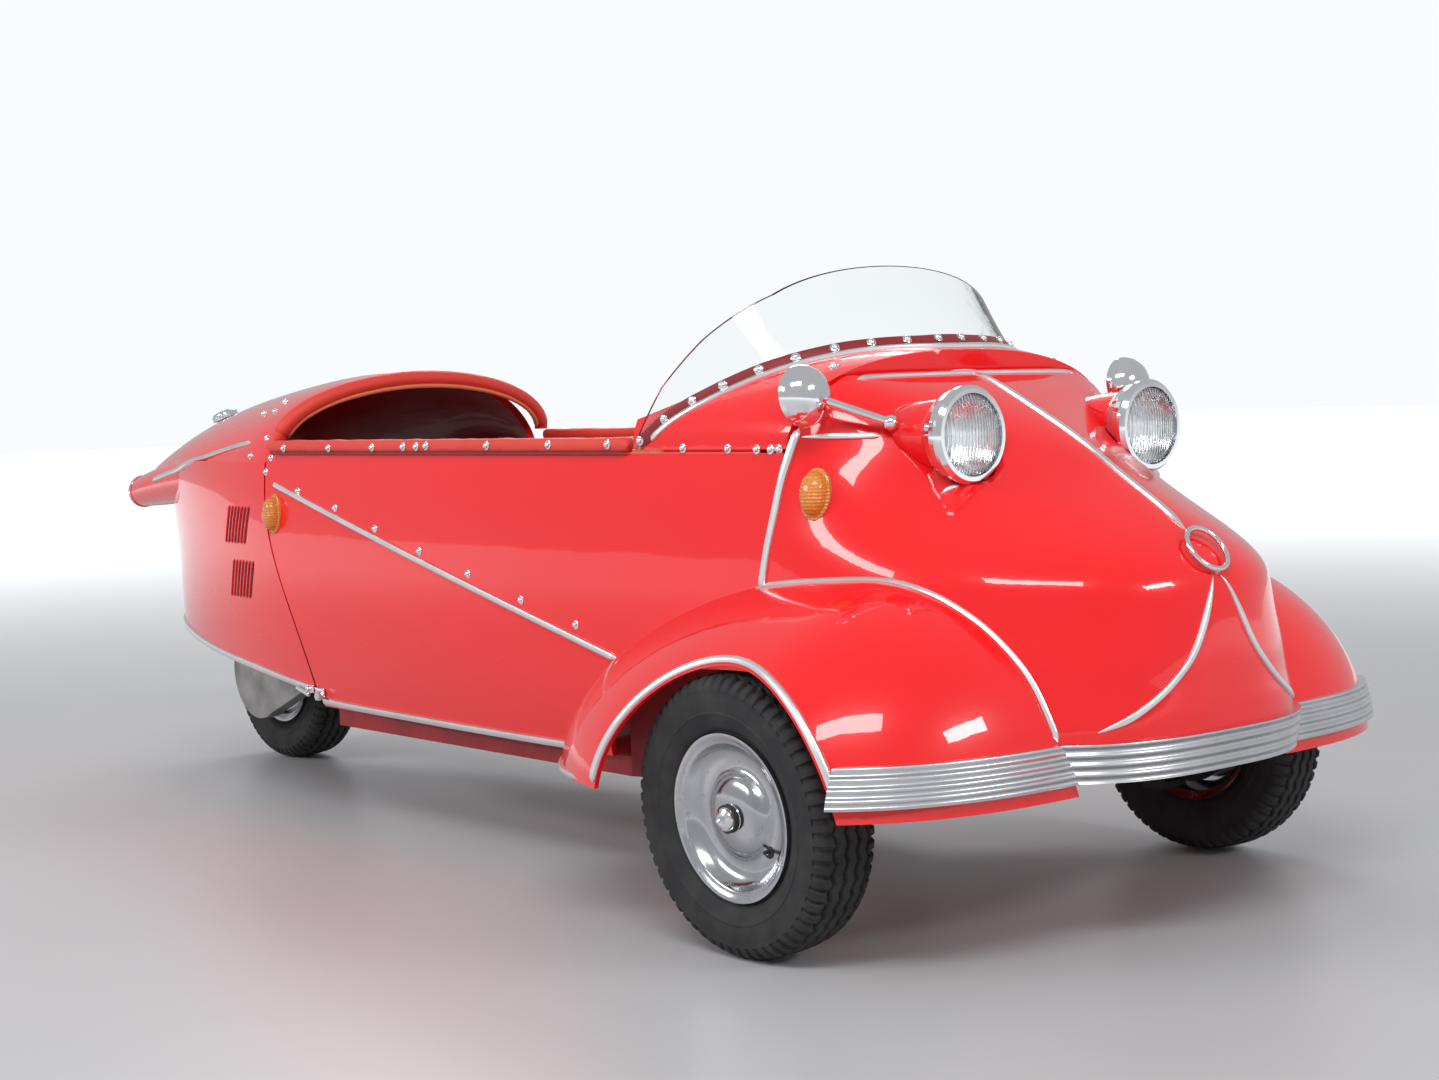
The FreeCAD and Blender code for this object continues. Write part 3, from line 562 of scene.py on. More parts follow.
def eased(found, passes=6):
    """The same line with its places and directions evened out."""
    for _ in range(passes):
        inner = []
        for before, here, after in zip(found, found[1:], found[2:]):
            place = (before[0] + here[0] * 2 + after[0]) / 4
            inner.append((place, (before[1] + here[1] * 2 + after[1]).normalized()))
        found = [found[0]] + inner + [found[-1]]
    return found


def flipped(found):
    """The mirror image, on the other side of the car."""
    turn = Vector((-1, 1, 1))
    return [(place * turn, normal * turn) for place, normal in found]


TIP_SHARE = 0.06
TIP_CURVE = 0.6


def taper(run, length):
    """Share of the full section that a strip has at a distance from its end."""
    if not length:
        return 1.0
    return TIP_SHARE + (1 - TIP_SHARE) * min(1.0, run / length) ** TIP_CURVE


def swept(bm, found, section, start_taper=0.0, end_taper=0.0, lift=0.0):
    """Runs a section of (across, out) millimetre points along laid places, tapered at the ends."""
    places = [place + normal * lift / 1000 for place, normal in found]
    count = len(places)
    runs = [0.0]
    for before, after in zip(places, places[1:]):
        runs.append(runs[-1] + (after - before).length * 1000)
    frames = []
    for index, (place, (_, normal)) in enumerate(zip(places, found)):
        ahead = (places[min(index + 1, count - 1)] - places[max(index - 1, 0)]).normalized()
        across = ahead.cross(normal).normalized()
        out = across.cross(ahead)
        size = min(taper(runs[index], start_taper), taper(runs[-1] - runs[index], end_taper))
        turn = Matrix((across * size, out * size, ahead)).transposed().to_4x4()
        frames.append(Matrix.Translation(place) @ turn)
    ring = [bm.verts.new((s / 1000, n / 1000, 0)) for s, n in section]
    edges = [bm.edges.new(pair) for pair in zip(ring, ring[1:] + ring[:1])]
    bmesh.ops.transform(bm, matrix=frames[0], verts=ring)
    bmesh.ops.contextual_create(bm, geom=edges)
    for before, after in zip(frames, frames[1:]):
        grown = bmesh.ops.extrude_edge_only(bm, edges=edges)["geom"]
        verts = {g for g in grown if isinstance(g, bmesh.types.BMVert)}
        edges = [g for g in grown if isinstance(g, bmesh.types.BMEdge) and all(v in verts for v in g.verts)]
        bmesh.ops.transform(bm, matrix=after @ before.inverted(), verts=list(verts))
    bmesh.ops.contextual_create(bm, geom=edges)


def strip(bm, found, section, start_taper=0.0, end_taper=0.0, lift=0.0):
    """The strip on the right-hand side and its mirror image."""
    for line in (found, flipped(found)):
        swept(bm, line, section, start_taper, end_taper, lift)


STRIP_FOOT = -2.0


def half_round(width, height):
    """Section of a domed strip: flat foot in the skin, upright sides, low dome."""
    w = width / 2
    return [(-w, STRIP_FOOT), (-w, height * 0.5), (-w * 0.88, height * 0.8), (-w * 0.55, height * 0.96),
            (0, height), (w * 0.55, height * 0.96), (w * 0.88, height * 0.8), (w, height * 0.5),
            (w, STRIP_FOOT)]


def round_section(radius, sides=8):
    return [(math.cos(math.tau * k / sides) * radius, math.sin(math.tau * k / sides) * radius)
            for k in range(sides)]


NOSE = Skin("nose_shell")
SIDE = Skin("side_panel_right")
FENDER = Skin("fender_right")
TAIL = Skin("tail_shell")
LID = Skin("cowl_lid")
SCREEN = Skin("windscreen")


# Strips; their points are on the right-hand side, x < 0

RIDGE = ((-347, 545), (-316, 566), (-267, 600), (-215, 636), (-163, 668), (-100, 702), (-60, 722),
         (-35, 733), (0, 745), (38, 754))
RIDGE_STEEP_END = -80
WHISKER = ((-12, -395, 483), (-31, -404, 457), (-50, -410, 430), (-68, -414, 406), (-87, -414, 382),
           (-110, -408, 358), (-131, -400, 339), (-149, -390, 324), (-172, -377, 309), (-203, -358, 296))
SEAM_TOP_Y = 54
SEAM_TOP_Z = 758
SEAM_SLOPE = 0.234
SEAM_STRIP_Z = (690, 650, 600, 550, 500, 468)
LAMP_STRIP = ((-316, 60, 678), (-294, 27, 678), (-265, -2, 677), (-245, -22, 677))
COWL_STRIP_X = (-225, -200, -170, -140, -110, -80, -40, 0)
LAMP_FIN = ((-226, -114, 598), (-214, -120, 603), (-202, -126, 608))


def from_camera(point):
    return at(*point) - at(*CAMERA_PLACE)


def into_nose(point):
    """Down on the nose, along the slope in front and more upright near the cowl."""
    return Vector((0, 0.75, -0.66)) if point.y < RIDGE_STEEP_END else Vector((0, 0.3, -1.0))


def seam_y(z):
    """Where the seam between nose and side runs at a height."""
    return SEAM_TOP_Y + (SEAM_TOP_Z - z) * SEAM_SLOPE


def make_nose_trims():
    bm = bmesh.new()
    swept(bm, laid(NOSE, [(0, y, z) for y, z in RIDGE], into_nose), half_round(10, 5), 30, 12)
    strip(bm, laid(NOSE, WHISKER, from_camera), half_round(9, 4.5), 60, 45)
    seam = [(-300, seam_y(z) - 5, z) for z in SEAM_STRIP_Z]
    strip(bm, laid(NOSE, seam, (1, 0, 0)), half_round(12, 5), 8, 8)
    strip(bm, laid(NOSE, LAMP_STRIP, from_camera), half_round(8, 4), 40, 8)
    cowl = [(x, 43, 770) for x in COWL_STRIP_X]
    strip(bm, laid(NOSE, cowl, (0, 0, -1)), half_round(9, 4), 14, 0)
    strip(bm, laid(NOSE, LAMP_FIN, from_camera), half_round(7, 6), 10, 10)
    return finished("nose_trims", bm, ALLOY, "body")


FENDER_BEAD = ((-349, 128, 470), (-348, 100, 475), (-347, 57, 480), (-343, 18, 483), (-338, -24, 486),
               (-330, -65, 488), (-319, -113, 486), (-308, -155, 476), (-295, -191, 460), (-277, -234, 430),
               (-263, -272, 392), (-254, -296, 357), (-249, -314, 320), (-243, -326, 286))
FENDER_BEAD_OUT = ((-0.7, 0, 0.7), (-0.6, -0.1, 0.8), (-0.5, -0.4, 0.75), (-0.5, -0.6, 0.6),
                   (-0.5, -0.75, 0.45), (-0.5, -0.85, 0.3))
ARCH_MIDDLE_Y = -20
ARCH_MIDDLE_Z = 165
ARCH_RADIUS = 232
ARCH_INNER_X = 0.5
FENDER_LIP = ((-340, 500, 218), (-412, 472, 218), (-455, 441, 218), (-485, 411, 218), (-510, 380, 218),
              (-534, 340, 218), (-551, 300, 218), (-564, 260, 218), (-573, 230, 219), (-578, 203, 221))
FENDER_LIP_OUT = ((-0.3, 0.95, 0), (-0.6, 0.8, 0), (-0.8, 0.6, 0), (-0.95, 0.3, 0))


def arch_strip():
    """Round the wheel opening, on the outer face of the fender alone."""
    arch = []
    for degrees in range(12, 166, 6):
        turn = math.radians(degrees)
        arch.append((-600, ARCH_MIDDLE_Y + ARCH_RADIUS * math.cos(turn),
                     ARCH_MIDDLE_Z + ARCH_RADIUS * math.sin(turn)))
    found = [spot for spot in laid(FENDER, arch, (1, 0, 0), 9.0) if abs(spot[0].x) > ARCH_INNER_X]
    return [(place, (normal + Vector((-0.8, 0, 0))).normalized()) for place, normal in found]


def make_fender_trims():
    bm = bmesh.new()
    bead = [(s * 1.15, n) for s, n in round_section(4.4)]
    strip(bm, direct(FENDER_BEAD, FENDER_BEAD_OUT, 7.0), bead, 40, 6, 1.0)
    strip(bm, arch_strip(), half_round(11, 6.5), 5, 5)
    strip(bm, direct(FENDER_LIP, FENDER_LIP_OUT), round_section(5.5), 10, 8, -1.5)
    return finished("fender_trims", bm, ALLOY, "body")


SLANT_REAR_Y = 1519
SLANT_REAR_Z = 601
SLANT_LENGTH = 1066
SLANT_FALL = 251
SILL = ((548, 203), (700, 202), (900, 202), (1100, 203), (1250, 204), (1380, 206))


def make_side_trims():
    bm = bmesh.new()
    slant = [(-340, SLANT_REAR_Y - t * SLANT_LENGTH, SLANT_REAR_Z - t * SLANT_FALL)
             for t in (0, 0.1, 0.3, 0.5, 0.7, 0.9, 1.0)]
    strip(bm, laid(SIDE, slant, (1, 0, 0)), half_round(10, 5), 10, 10)
    strip(bm, laid(SIDE, [(-325, y, z) for y, z in SILL], (1, 0, 0)), half_round(12, 6), 8, 8)
    return finished("side_trims", bm, ALLOY, "body")


SHOULDER = ((-290, 1650, 675), (-278, 1762, 663), (-265, 1890, 647), (-252, 2010, 628), (-231, 2127, 611),
            (-218, 2220, 595))
TAIL_HEM = ((-322, 1402, 226), (-322, 1500, 236), (-300, 1640, 250), (-262, 1850, 266), (-212, 2050, 283),
            (-150, 2241, 298), (-110, 2330, 306))
TAIL_STRAIGHT_END = 1500


def into_tail(point):
    """Inwards at the foot of the tail, turned forwards where it narrows."""
    return Vector((1.0, -0.0009 * max(0.0, point.y - TAIL_STRAIGHT_END), 0))


def make_tail_trims():
    bm = bmesh.new()
    shoulder = eased(laid(TAIL, SHOULDER, (0.9, 0.1, -0.45), 16.0))
    strip(bm, shoulder, half_round(10, 5), 5, 6, 1.0)
    strip(bm, laid(TAIL, TAIL_HEM, into_tail, 9.0), half_round(12, 5.5), 6, 6)
    return finished("tail_trims", bm, ALLOY, "tail")


# Trims at the foot of the windscreen; its bow is an oval 340 wide to each side and 440 deep

SCREEN_FOOT = ((-334, 402, 664), (-331, 381, 673), (-325, 340, 700), (-314, 301, 720), (-305, 274, 732),
               (-288, 239, 748), (-261, 199, 766), (-239, 174, 776), (-199, 140, 788), (-170, 122, 794),
               (-124, 100, 799), (-58, 80, 802), (0, 76, 803))
BOW_HALF_WIDTH = 340
BOW_BACK_Y = 486
BAND_SECTION = ((-9, -1), (-9, 2.2), (-7, 3.0), (7, 3.0), (9, 2.2), (9, -1))
BAND_STUD_FIRST = 12
BAND_STUD_PITCH = 56
BAND_THICKNESS = 0.003


def screen_band(rise):
    """The line round the foot of the windscreen, raised along the glass."""
    return [(x, y + rise * 0.6 * (1 + x / BOW_HALF_WIDTH), z + rise * 0.8) for x, y, z in SCREEN_FOOT]


def into_screen(point):
    """Square to the bow of the glass, and slightly down in the middle."""
    return Vector((-point.x / 34 ** 2, (BOW_BACK_Y - point.y) / 44 ** 2, -0.2 * (1 - abs(point.x) / 360)))


def into_lid(point):
    return Vector((0.0022 * -point.x, 0.05, -0.62 - 0.2 * point.x / BOW_HALF_WIDTH))


def make_screen_trims():
    foot = [(x * 1.004 - 2, y - 8, z + 4) for x, y, z in SCREEN_FOOT[1:]]
    whole = laid(LID, foot, into_lid)
    bm = bmesh.new()
    swept(bm, whole + flipped(whole)[-2::-1], half_round(10, 5), 8, 8)
    finished("screen_foot_trim", bm, ALLOY, "lid")
    band = laid(SCREEN, screen_band(9), into_screen)
    bm = bmesh.new()
    swept(bm, band + flipped(band)[-2::-1], BAND_SECTION, 10, 10)
    finished("screen_band", bm, VINYL_DARK, "lid")
    points = smooth_line(screen_band(10), 1.0)
    spots = []
    for point in points[BAND_STUD_FIRST::BAND_STUD_PITCH]:
        place, normal = SCREEN.hit(at(*point), into_screen(point))
        if place is not None:
            spots.append((place + normal * BAND_THICKNESS, normal))
    studs("screen_studs", spots + flipped(spots), "lid")


# Snap studs: place and outward direction, on the right-hand side

STUD = ((0.0, 6.0), (2.2, 5.7), (3.8, 4.8), (4.6, 3.2), (4.6, 1.8), (6.2, 1.6), (7.2, 0.9), (7.4, -1.6),
        (0.0, -1.6))
BODY_STUDS = (
    (-326, 1420, 588, -0.99, 0.03, 0.10), (-332, 1280, 560, -1, 0.02, 0.08),
    (-338, 1139, 527, -1, 0.02, 0.07), (-342, 995, 493, -1, 0.01, 0.03), (-345, 846, 461, -1, 0.01, 0.02),
    (-347, 696, 426, -1, 0.01, 0), (-348, 551, 395, -1, 0.01, 0), (-314, 1535, 648, -0.99, 0.04, 0.14),
    (-317, 1551, 622, -0.99, 0.04, 0.13), (-329, 92, 662, -1, -0.04, 0),
)
BELT_STUDS = ((1469, 666), (1303, 666), (1151, 667), (1048, 668), (1006, 668), (975, 669), (794, 669),
              (623, 670), (470, 670))
LID_STUDS = (
    (-332, 297, 664, -1, 0, 0.02), (-332, 197, 663, -1, 0, 0.01), (-332, 135, 662, -0.99, 0, 0.15),
    (-332, 106, 662, -0.99, 0, 0.15), (-228, 85, 773, -0.31, -0.15, 0.94),
)
TAIL_STUDS = (
    (-230, 1708, 729, -0.6, 0.13, 0.79), (-290, 1590, 684, -0.83, 0.05, 0.55),
    (-302, 1635, 651, -0.96, 0.1, 0.26), (-203, 1672, 751, -0.46, 0.12, 0.88),
    (-236, 1653, 733, -0.58, 0.08, 0.81),
)


def studs(name, spots, body):
    """Snap studs at (place, direction) spots, all one piece."""
    bm = bmesh.new()
    for place, normal in spots:
        spun(STUD, 14, facing(place, normal), bm)
    return finished(name, bm, CHROME, body)


def spots_of(table):
    spots = [(at(x, y, z), Vector((a, b, c)).normalized()) for x, y, z, a, b, c in table]
    return spots + flipped(spots)


def belt_x(y):
    """How far out the pads along the top of the sides lie."""
    return -335.3 + max(0.0, y - 454) * 0.0085 + max(0.0, y - 1000) * 0.011


def make_studs():
    belt = [(at(belt_x(y) - 2.2, y, z), Vector((-1, 0.01, 0))) for y, z in BELT_STUDS]
    studs("body_studs", spots_of(BODY_STUDS) + belt + flipped(belt), "body")
    studs("lid_studs", spots_of(LID_STUDS), "lid")
    studs("tail_studs", spots_of(TAIL_STUDS), "tail")


# Upholstery

PAD_Z = 669
PAD_HALF_HEIGHT = 11.6
PAD_HALF_WIDTH = 11.4
PAD_MIDDLE_OUT = -10
PAD_SIDES = 14
PAD_Y = (422, 500, 650, 850, 1050, 1250, 1400, 1500, 1544)
PIPING_Z = 656.5
PIPING_Y = (424, 650, 900, 1150, 1400, 1530)


def wrinkled(bm, amount, pitch, seed):
    """Soft uneven folds, out and in along the directions of the faces."""
    bm.normal_update()
    shift = Vector((seed * 3.1, seed * 1.7, seed * 0.9))
    moves = []
    for vert in bm.verts:
        value = noise.noise(vert.co / pitch + shift) + 0.5 * noise.noise(vert.co / pitch * 2.3 + shift)
        moves.append((vert, vert.normal * value * amount))
    for vert, move in moves:
        vert.co += move


def squared(value):
    """A sine or cosine pushed outwards, for a rounded square in place of a circle."""
    return math.copysign(abs(value) ** 0.7, value)


def make_belt_pads():
    section = []
    for step in range(PAD_SIDES):
        turn = math.tau * step / PAD_SIDES
        section.append((PAD_HALF_HEIGHT * squared(math.sin(turn)),
                        PAD_MIDDLE_OUT + PAD_HALF_WIDTH * squared(math.cos(turn))))
    for side, name in ((-1, "right"), (1, "left")):
        line = [(belt_x(y) * -side, y, PAD_Z) for y in PAD_Y]
        found = [(at(*p), Vector((side, 0, 0))) for p in smooth_line(line, 8.0)]
        bm = bmesh.new()
        swept(bm, found, section, 12, 26)
        wrinkled(bm, 0.0011, 0.045, side + 2)
        pad = finished("belt_pad_" + name, bm, VINYL_RED, "body", 70.0)
        if side == -1:
            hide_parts("belt_edging")
    line = [(belt_x(y) - 1.5, y, PIPING_Z) for y in PIPING_Y]
    found = [(at(*p), Vector((-1, 0, 0))) for p in smooth_line(line, 12.0)]
    bm = bmesh.new()
    strip(bm, found, round_section(2.2), 6, 6)
    finished("belt_piping", bm, VINYL_DARK, "body")


HOOP_HALF_WIDTH = 300
HOOP_Y = 1530
HOOP_LEAN = 42
HOOP_FOOT_Z = 677
HOOP_RISE = 112
HOOP_STEPS = 36
HOOP_MIDDLE = (0, 1520, 640)


def hoop_line(inset, back=0.0):
    """Places along the hoop behind the seats, inset toward its middle, with directions out from it."""
    found = []
    middle = at(*HOOP_MIDDLE)
    for step in range(HOOP_STEPS + 1):
        turn = math.radians(4 + step * 172 / HOOP_STEPS)
        rise = math.sin(turn)
        place = at((HOOP_HALF_WIDTH - inset) * math.cos(turn), HOOP_Y - HOOP_LEAN * rise + back,
                   HOOP_FOOT_Z + (HOOP_RISE - inset) * rise)
        found.append((place, ((place - middle) * Vector((1, 0, 1))).normalized()))
    return found


def make_hoop_cover():
    bm = bmesh.new()
    swept(bm, hoop_line(0), round_section(14.4, 16), 3, 3)
    wrinkled(bm, 0.0007, 0.03, 5)
    cover = finished("hoop_cover", bm, VINYL_RED, "body", 70.0)
    bm = bmesh.new()
    swept(bm, hoop_line(15.0, -6.0), round_section(4.6), 3, 3)
    wrinkled(bm, 0.0004, 0.02, 6)
    roll = finished("hoop_inner_roll", bm, VINYL_TAN, "body", 70.0)


CHANNELS = 6
CHANNEL_DEPTH = 0.006
CHANNEL_WIDTH = 0.007
FOLD_DEPTH = 0.0016
FOLD_PITCH = 22
PUFF_STEPS = 20
PUFF_FORCE = 4.0
PUFF_LIMIT = 0.008
CUSHION_GRAIN = 0.0075


def puffed(bm):
    """Where the points lie once the shape is blown up a little as cloth, its own weight left out."""
    scene = bpy.context.scene
    mesh = bpy.data.meshes.new("puffing")
    bm.to_mesh(mesh)
    form = bpy.data.objects.new("puffing", mesh)
    scene.collection.objects.link(form)
    cloth = form.modifiers.new("cloth", "CLOTH")
    cloth.settings.use_pressure = True
    cloth.settings.uniform_pressure_force = PUFF_FORCE
    cloth.settings.effector_weights.gravity = 0
    cloth.settings.quality = 4
    for step in range(1, PUFF_STEPS + 1):
        scene.frame_set(step)
    blown = form.evaluated_get(bpy.context.evaluated_depsgraph_get()).to_mesh()
    places = [v.co.copy() for v in blown.vertices]
    bpy.data.objects.remove(form)
    bpy.data.meshes.remove(mesh)
    scene.frame_set(1)
    return places


def even_mesh(node, middle, shrink):
    """The solid of a seat node, made smaller about its middle, as an even closed mesh."""
    bm = bmesh.new()
    bm.from_mesh(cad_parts[node].data)
    bmesh.ops.remove_doubles(bm, verts=bm.verts, dist=0.00001)
    scale = Matrix.Translation(middle) @ Matrix.Diagonal((*shrink, 1.0)) @ Matrix.Translation(-middle)
    bmesh.ops.transform(bm, matrix=scale, verts=bm.verts)
    mesh = bpy.data.meshes.new("pad_form")
    bm.to_mesh(mesh)
    bm.free()
    form = bpy.data.objects.new("pad_form", mesh)
    bpy.context.scene.collection.objects.link(form)
    remesh = form.modifiers.new("remesh", "REMESH")
    remesh.mode = "VOXEL"
    remesh.voxel_size = CUSHION_GRAIN
    made = form.evaluated_get(bpy.context.evaluated_depsgraph_get()).to_mesh()
    bm = bmesh.new()
    bm.from_mesh(made)
    bpy.data.objects.remove(form)
    bpy.data.meshes.remove(mesh)
    return bm


def quilted(bm, left, right, seed):
    """Presses seams between upright channels into a pad, and soft folds all over it."""
    bm.normal_update()
    pitch = (right - left) / CHANNELS
    moves = []
    for vert in bm.verts:
        gap = abs(((vert.co.x - left) / pitch + 0.5) % 1.0 - 0.5) * pitch
        inside = left + pitch * 0.5 < vert.co.x < right - pitch * 0.5
        depth = CHANNEL_DEPTH * math.exp(-(gap / CHANNEL_WIDTH) ** 2) if inside else 0.0
        fold = noise.noise(vert.co * FOLD_PITCH + Vector((seed, 0, 0))) * FOLD_DEPTH
        moves.append((vert, vert.normal * (fold - depth)))
    for vert, move in moves:
        vert.co += move


def make_cushion(node, name, shrink, seed):
    """A stuffed seat pad: the solid, made smaller, blown up and quilted into channels."""
    low, high = (Vector(c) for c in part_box(node))
    bm = even_mesh(node, (low + high) / 2, shrink)
    bmesh.ops.smooth_vert(bm, verts=bm.verts, factor=0.5,
                          use_axis_x=True, use_axis_y=True, use_axis_z=True)
    for vert, place in zip(bm.verts, puffed(bm)):
        move = place - vert.co
        vert.co += move * min(1.0, PUFF_LIMIT / max(move.length, 1e-9))
    bmesh.ops.subdivide_edges(bm, edges=bm.edges, cuts=1, use_grid_fill=True, smooth=0.6)
    quilted(bm, low.x, high.x, seed)
    pad = finished(name, bm, VINYL_TAN, "body", 80.0)
    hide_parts(node)


def make_seats():
    make_cushion("seat_front_cushion", "front_seat_pad", (0.965, 0.965, 0.88), 1)
    make_cushion("seat_front_back", "front_back_pad", (0.965, 0.92, 0.965), 2)
    make_cushion("seat_rear_cushion", "rear_seat_pad", (0.965, 0.96, 0.88), 3)
    make_cushion("seat_rear_back", "rear_back_pad", (0.965, 0.94, 0.965), 4)


# Indicators, ring, cap, mirrors and louvres that lie on the panels

INDICATORS = ((-320, 30, 600, -0.92, -0.32, 0.23), (-326, 1508, 545, -1, 0.04, 0.06))
INDICATOR_BASE = ((0, 4), (33, 4), (36.5, 2.5), (37, -1), (37, -7), (0, -7))
INDICATOR_LENS = ((0, 24), (10, 23.6), (20, 21.5), (27, 17), (30, 11), (30.5, 3.5), (0, 3.5))
INDICATOR_NARROW = 0.62


def make_indicators():
    bases, lenses = bmesh.new(), bmesh.new()
    for place, normal in spots_of(INDICATORS):
        seat = facing(place, normal) @ Matrix.Diagonal((INDICATOR_NARROW, 1.0, 1.0, 1.0))
        spun(INDICATOR_BASE, 48, seat, bases)
        spun(INDICATOR_LENS, 48, seat, lenses)
    finished("indicator_bases", bases, AMBER, "body")
    finished("indicator_lenses", lenses, AMBER, "body")


RING_RADIUS = 33
RING_TUBE = 3.6
RING_PEG = ((0, 0), (3, 0), (3, -14), (0, -14))


def make_nose_ring():
    tube = [(RING_RADIUS + RING_TUBE * math.cos(math.tau * k / 12), RING_TUBE * math.sin(math.tau * k / 12))
            for k in range(13)]
    place = facing(at(0, -377, 518), (0, -0.79, 0.61))
    bm = spun(tube, 64, place)
    for height in (RING_RADIUS, -RING_RADIUS):
        spun(RING_PEG, 12, place @ Matrix.Translation((0, height / 1000, 0)), bm)
    finished("nose_ring", bm, CHROME, "body")


CAP = ((0, 22), (14, 21.6), (22, 20), (25, 17), (26, 15), (26, 5), (22, 4), (19, 3), (19, -6), (0, -6))
CAP_GRIP = ((0, 15.5), (1.4, 15), (1.4, 5.4), (0, 5))
CAP_GRIPS = 30
CAP_GRIP_RADIUS = 0.0262


def make_fuel_cap():
    place = facing(at(-97, 2110, 717), (-0.27, 0.23, 0.93))
    bm = spun(CAP, 48, place)
    for step in range(CAP_GRIPS):
        turn = math.tau * step / CAP_GRIPS
        spot = Matrix.Translation((CAP_GRIP_RADIUS * math.cos(turn), CAP_GRIP_RADIUS * math.sin(turn), 0))
        spun(CAP_GRIP, 6, place @ spot, bm)
    finished("fuel_cap", bm, CHROME, "tail", 35.0)


MIRROR_SHELL = ((0, 33), (13, 32.2), (25, 28), (34, 21), (40, 12), (42.5, 4), (43, -1), (41, -3), (0, -3))
MIRROR_GLASS = ((0, -2.2), (38, -2.2), (38.5, -3.6), (0, -3.8))


def make_mirrors():
    shells, glasses = bmesh.new(), bmesh.new()
    for side in (-1, 1):
        back = facing(at(side * 335, 34, 734), (0, -1, 0.1))
        spun(MIRROR_SHELL, 48, back, shells)
        spun(MIRROR_GLASS, 48, back, glasses)
    finished("mirror_shells", shells, CHROME, "body")
    finished("mirror_glasses", glasses, SILVER, "body")


LOUVRE_GROUPS = ((1676, 520), (1662, 417))
LOUVRES = 7
LOUVRE_PITCH = 15.5
LOUVRE_SLANT = 26
LOUVRE_HEIGHT = 74
# Section of a dark strip on the skin that paints the shade inside each louvre slot
LOUVRE_SHADE_SECTION = ((-3, -1), (-3, 0.5), (3, 0.5), (3, -1))
LOUVRE_LIP_GAP = 4.6


def make_louvres():
    slot_shades, lips = bmesh.new(), bmesh.new()
    for y, z in LOUVRE_GROUPS:
        for step in range(LOUVRES):
            foot = y + (step - 3) * LOUVRE_PITCH + LOUVRE_SLANT / 2
            line = [(-330, foot - LOUVRE_SLANT * t, z - LOUVRE_HEIGHT / 2 + LOUVRE_HEIGHT * t)
                    for t in (0, 0.33, 0.67, 1)]
            # Painted shade: a dark steel strip on the skin stands in for the shaded opening of the slot.
            strip(slot_shades, laid(TAIL, line, (1, 0, 0)), LOUVRE_SHADE_SECTION, 6, 6)
            line = [(x, y + LOUVRE_LIP_GAP, z) for x, y, z in line]
            strip(lips, laid(TAIL, line, (1, 0, 0)), half_round(5, 3), 6, 6)
    finished("louvre_slot_shades", slot_shades, STEEL, "tail")
    finished("louvre_lips", lips, PAINT, "tail")


# Tyres and wheels

REAR_AXLE = (0, 2030, 190)
HALF_TRACK = 475
FRONT_AXLE_Z = 190.37
CAMBER = math.radians(3.0)


def wheel_frame(name):
    """Centre and outward axle direction of a wheel."""
    if name == "rear":
        return facing(at(*REAR_AXLE), Vector((-1, 0, 0)))
    side = 1 if "left" in name else -1
    out = Vector((side * math.cos(CAMBER), 0, -math.sin(CAMBER)))
    return facing(at(side * HALF_TRACK, 0, FRONT_AXLE_Z), out)


TYRE_SIDE = ((101.8, 33), (106, 35.5), (114, 34.5), (118, 39), (122, 42), (128, 45.5), (134, 48), (138, 49.2),
             (139, 50.2), (141, 50.3), (142, 49.6), (148, 50.4), (156, 51.2), (163, 51.2), (168, 50.5),
             (170, 50.9), (173, 50), (176, 48.8))
TYRE_CROWN = ((178.5, 47.6), (180.5, 46), (182.5, 44), (184.2, 42), (185.5, 40), (186.4, 38), (187.0, 36),
              (187.5, 34), (187.9, 32), (188.3, 30), (188.5, 28.4), (188.7, 26.8), (188.8, 25.2),
              (188.9, 23.6), (189.1, 21.5), (189.2, 19.6), (189.3, 17.7), (189.5, 15.8), (189.6, 14),
              (189.7, 12.2), (189.8, 10.4), (189.8, 8.6), (189.9, 6.8), (190.0, 5), (190.0, 3.2),
              (190.0, 1.4))
TYRE_STEPS = 440
TREAD_FOOT = 172
GROOVES = (-28, -9.5, 9.5, 28)
GROOVE_DEPTH = 6.0
GROOVE_HALF_WIDTH = 2.9
ZIGZAGS = 44
ZIGZAG_WIDTH = 2.4
LUGS = 62
LUG_DEPTH = 5.5
LUG_START = 31


def tread_depth(radius, along, turn):
    """How deep the tread is cut at a place on the tyre."""
    if radius < TREAD_FOOT:
        return 0.0
    zigzag = abs((turn * ZIGZAGS / math.tau) % 1.0 - 0.5) * 4 - 1
    depth = 0.0
    for middle in GROOVES:
        away = abs(along - middle - zigzag * ZIGZAG_WIDTH)
        depth = max(depth, GROOVE_DEPTH * min(1.0, max(0.0, (GROOVE_HALF_WIDTH - away) / 0.9)))
    if abs(along) > LUG_START:
        lug = abs((turn * LUGS / math.tau) % 1.0 - 0.5)
        cut = LUG_DEPTH * min(1.0, max(0.0, (lug - 0.30) / 0.05))
        depth = max(depth, cut * min(1.0, (abs(along) - LUG_START) / 2))
    return depth


def tyre_mesh(matrix):
    half = TYRE_SIDE + TYRE_CROWN
    bm = spun(half + tuple((radius, -along) for radius, along in reversed(half)), TYRE_STEPS)
    for vert in bm.verts:
        radius = math.hypot(vert.co.x, vert.co.y) * 1000
        depth = tread_depth(radius, vert.co.z * 1000, math.atan2(vert.co.y, vert.co.x))
        if depth:
            scale = (radius - depth) / radius
            vert.co.x *= scale
            vert.co.y *= scale
    bmesh.ops.transform(bm, matrix=matrix, verts=bm.verts)
    return bm


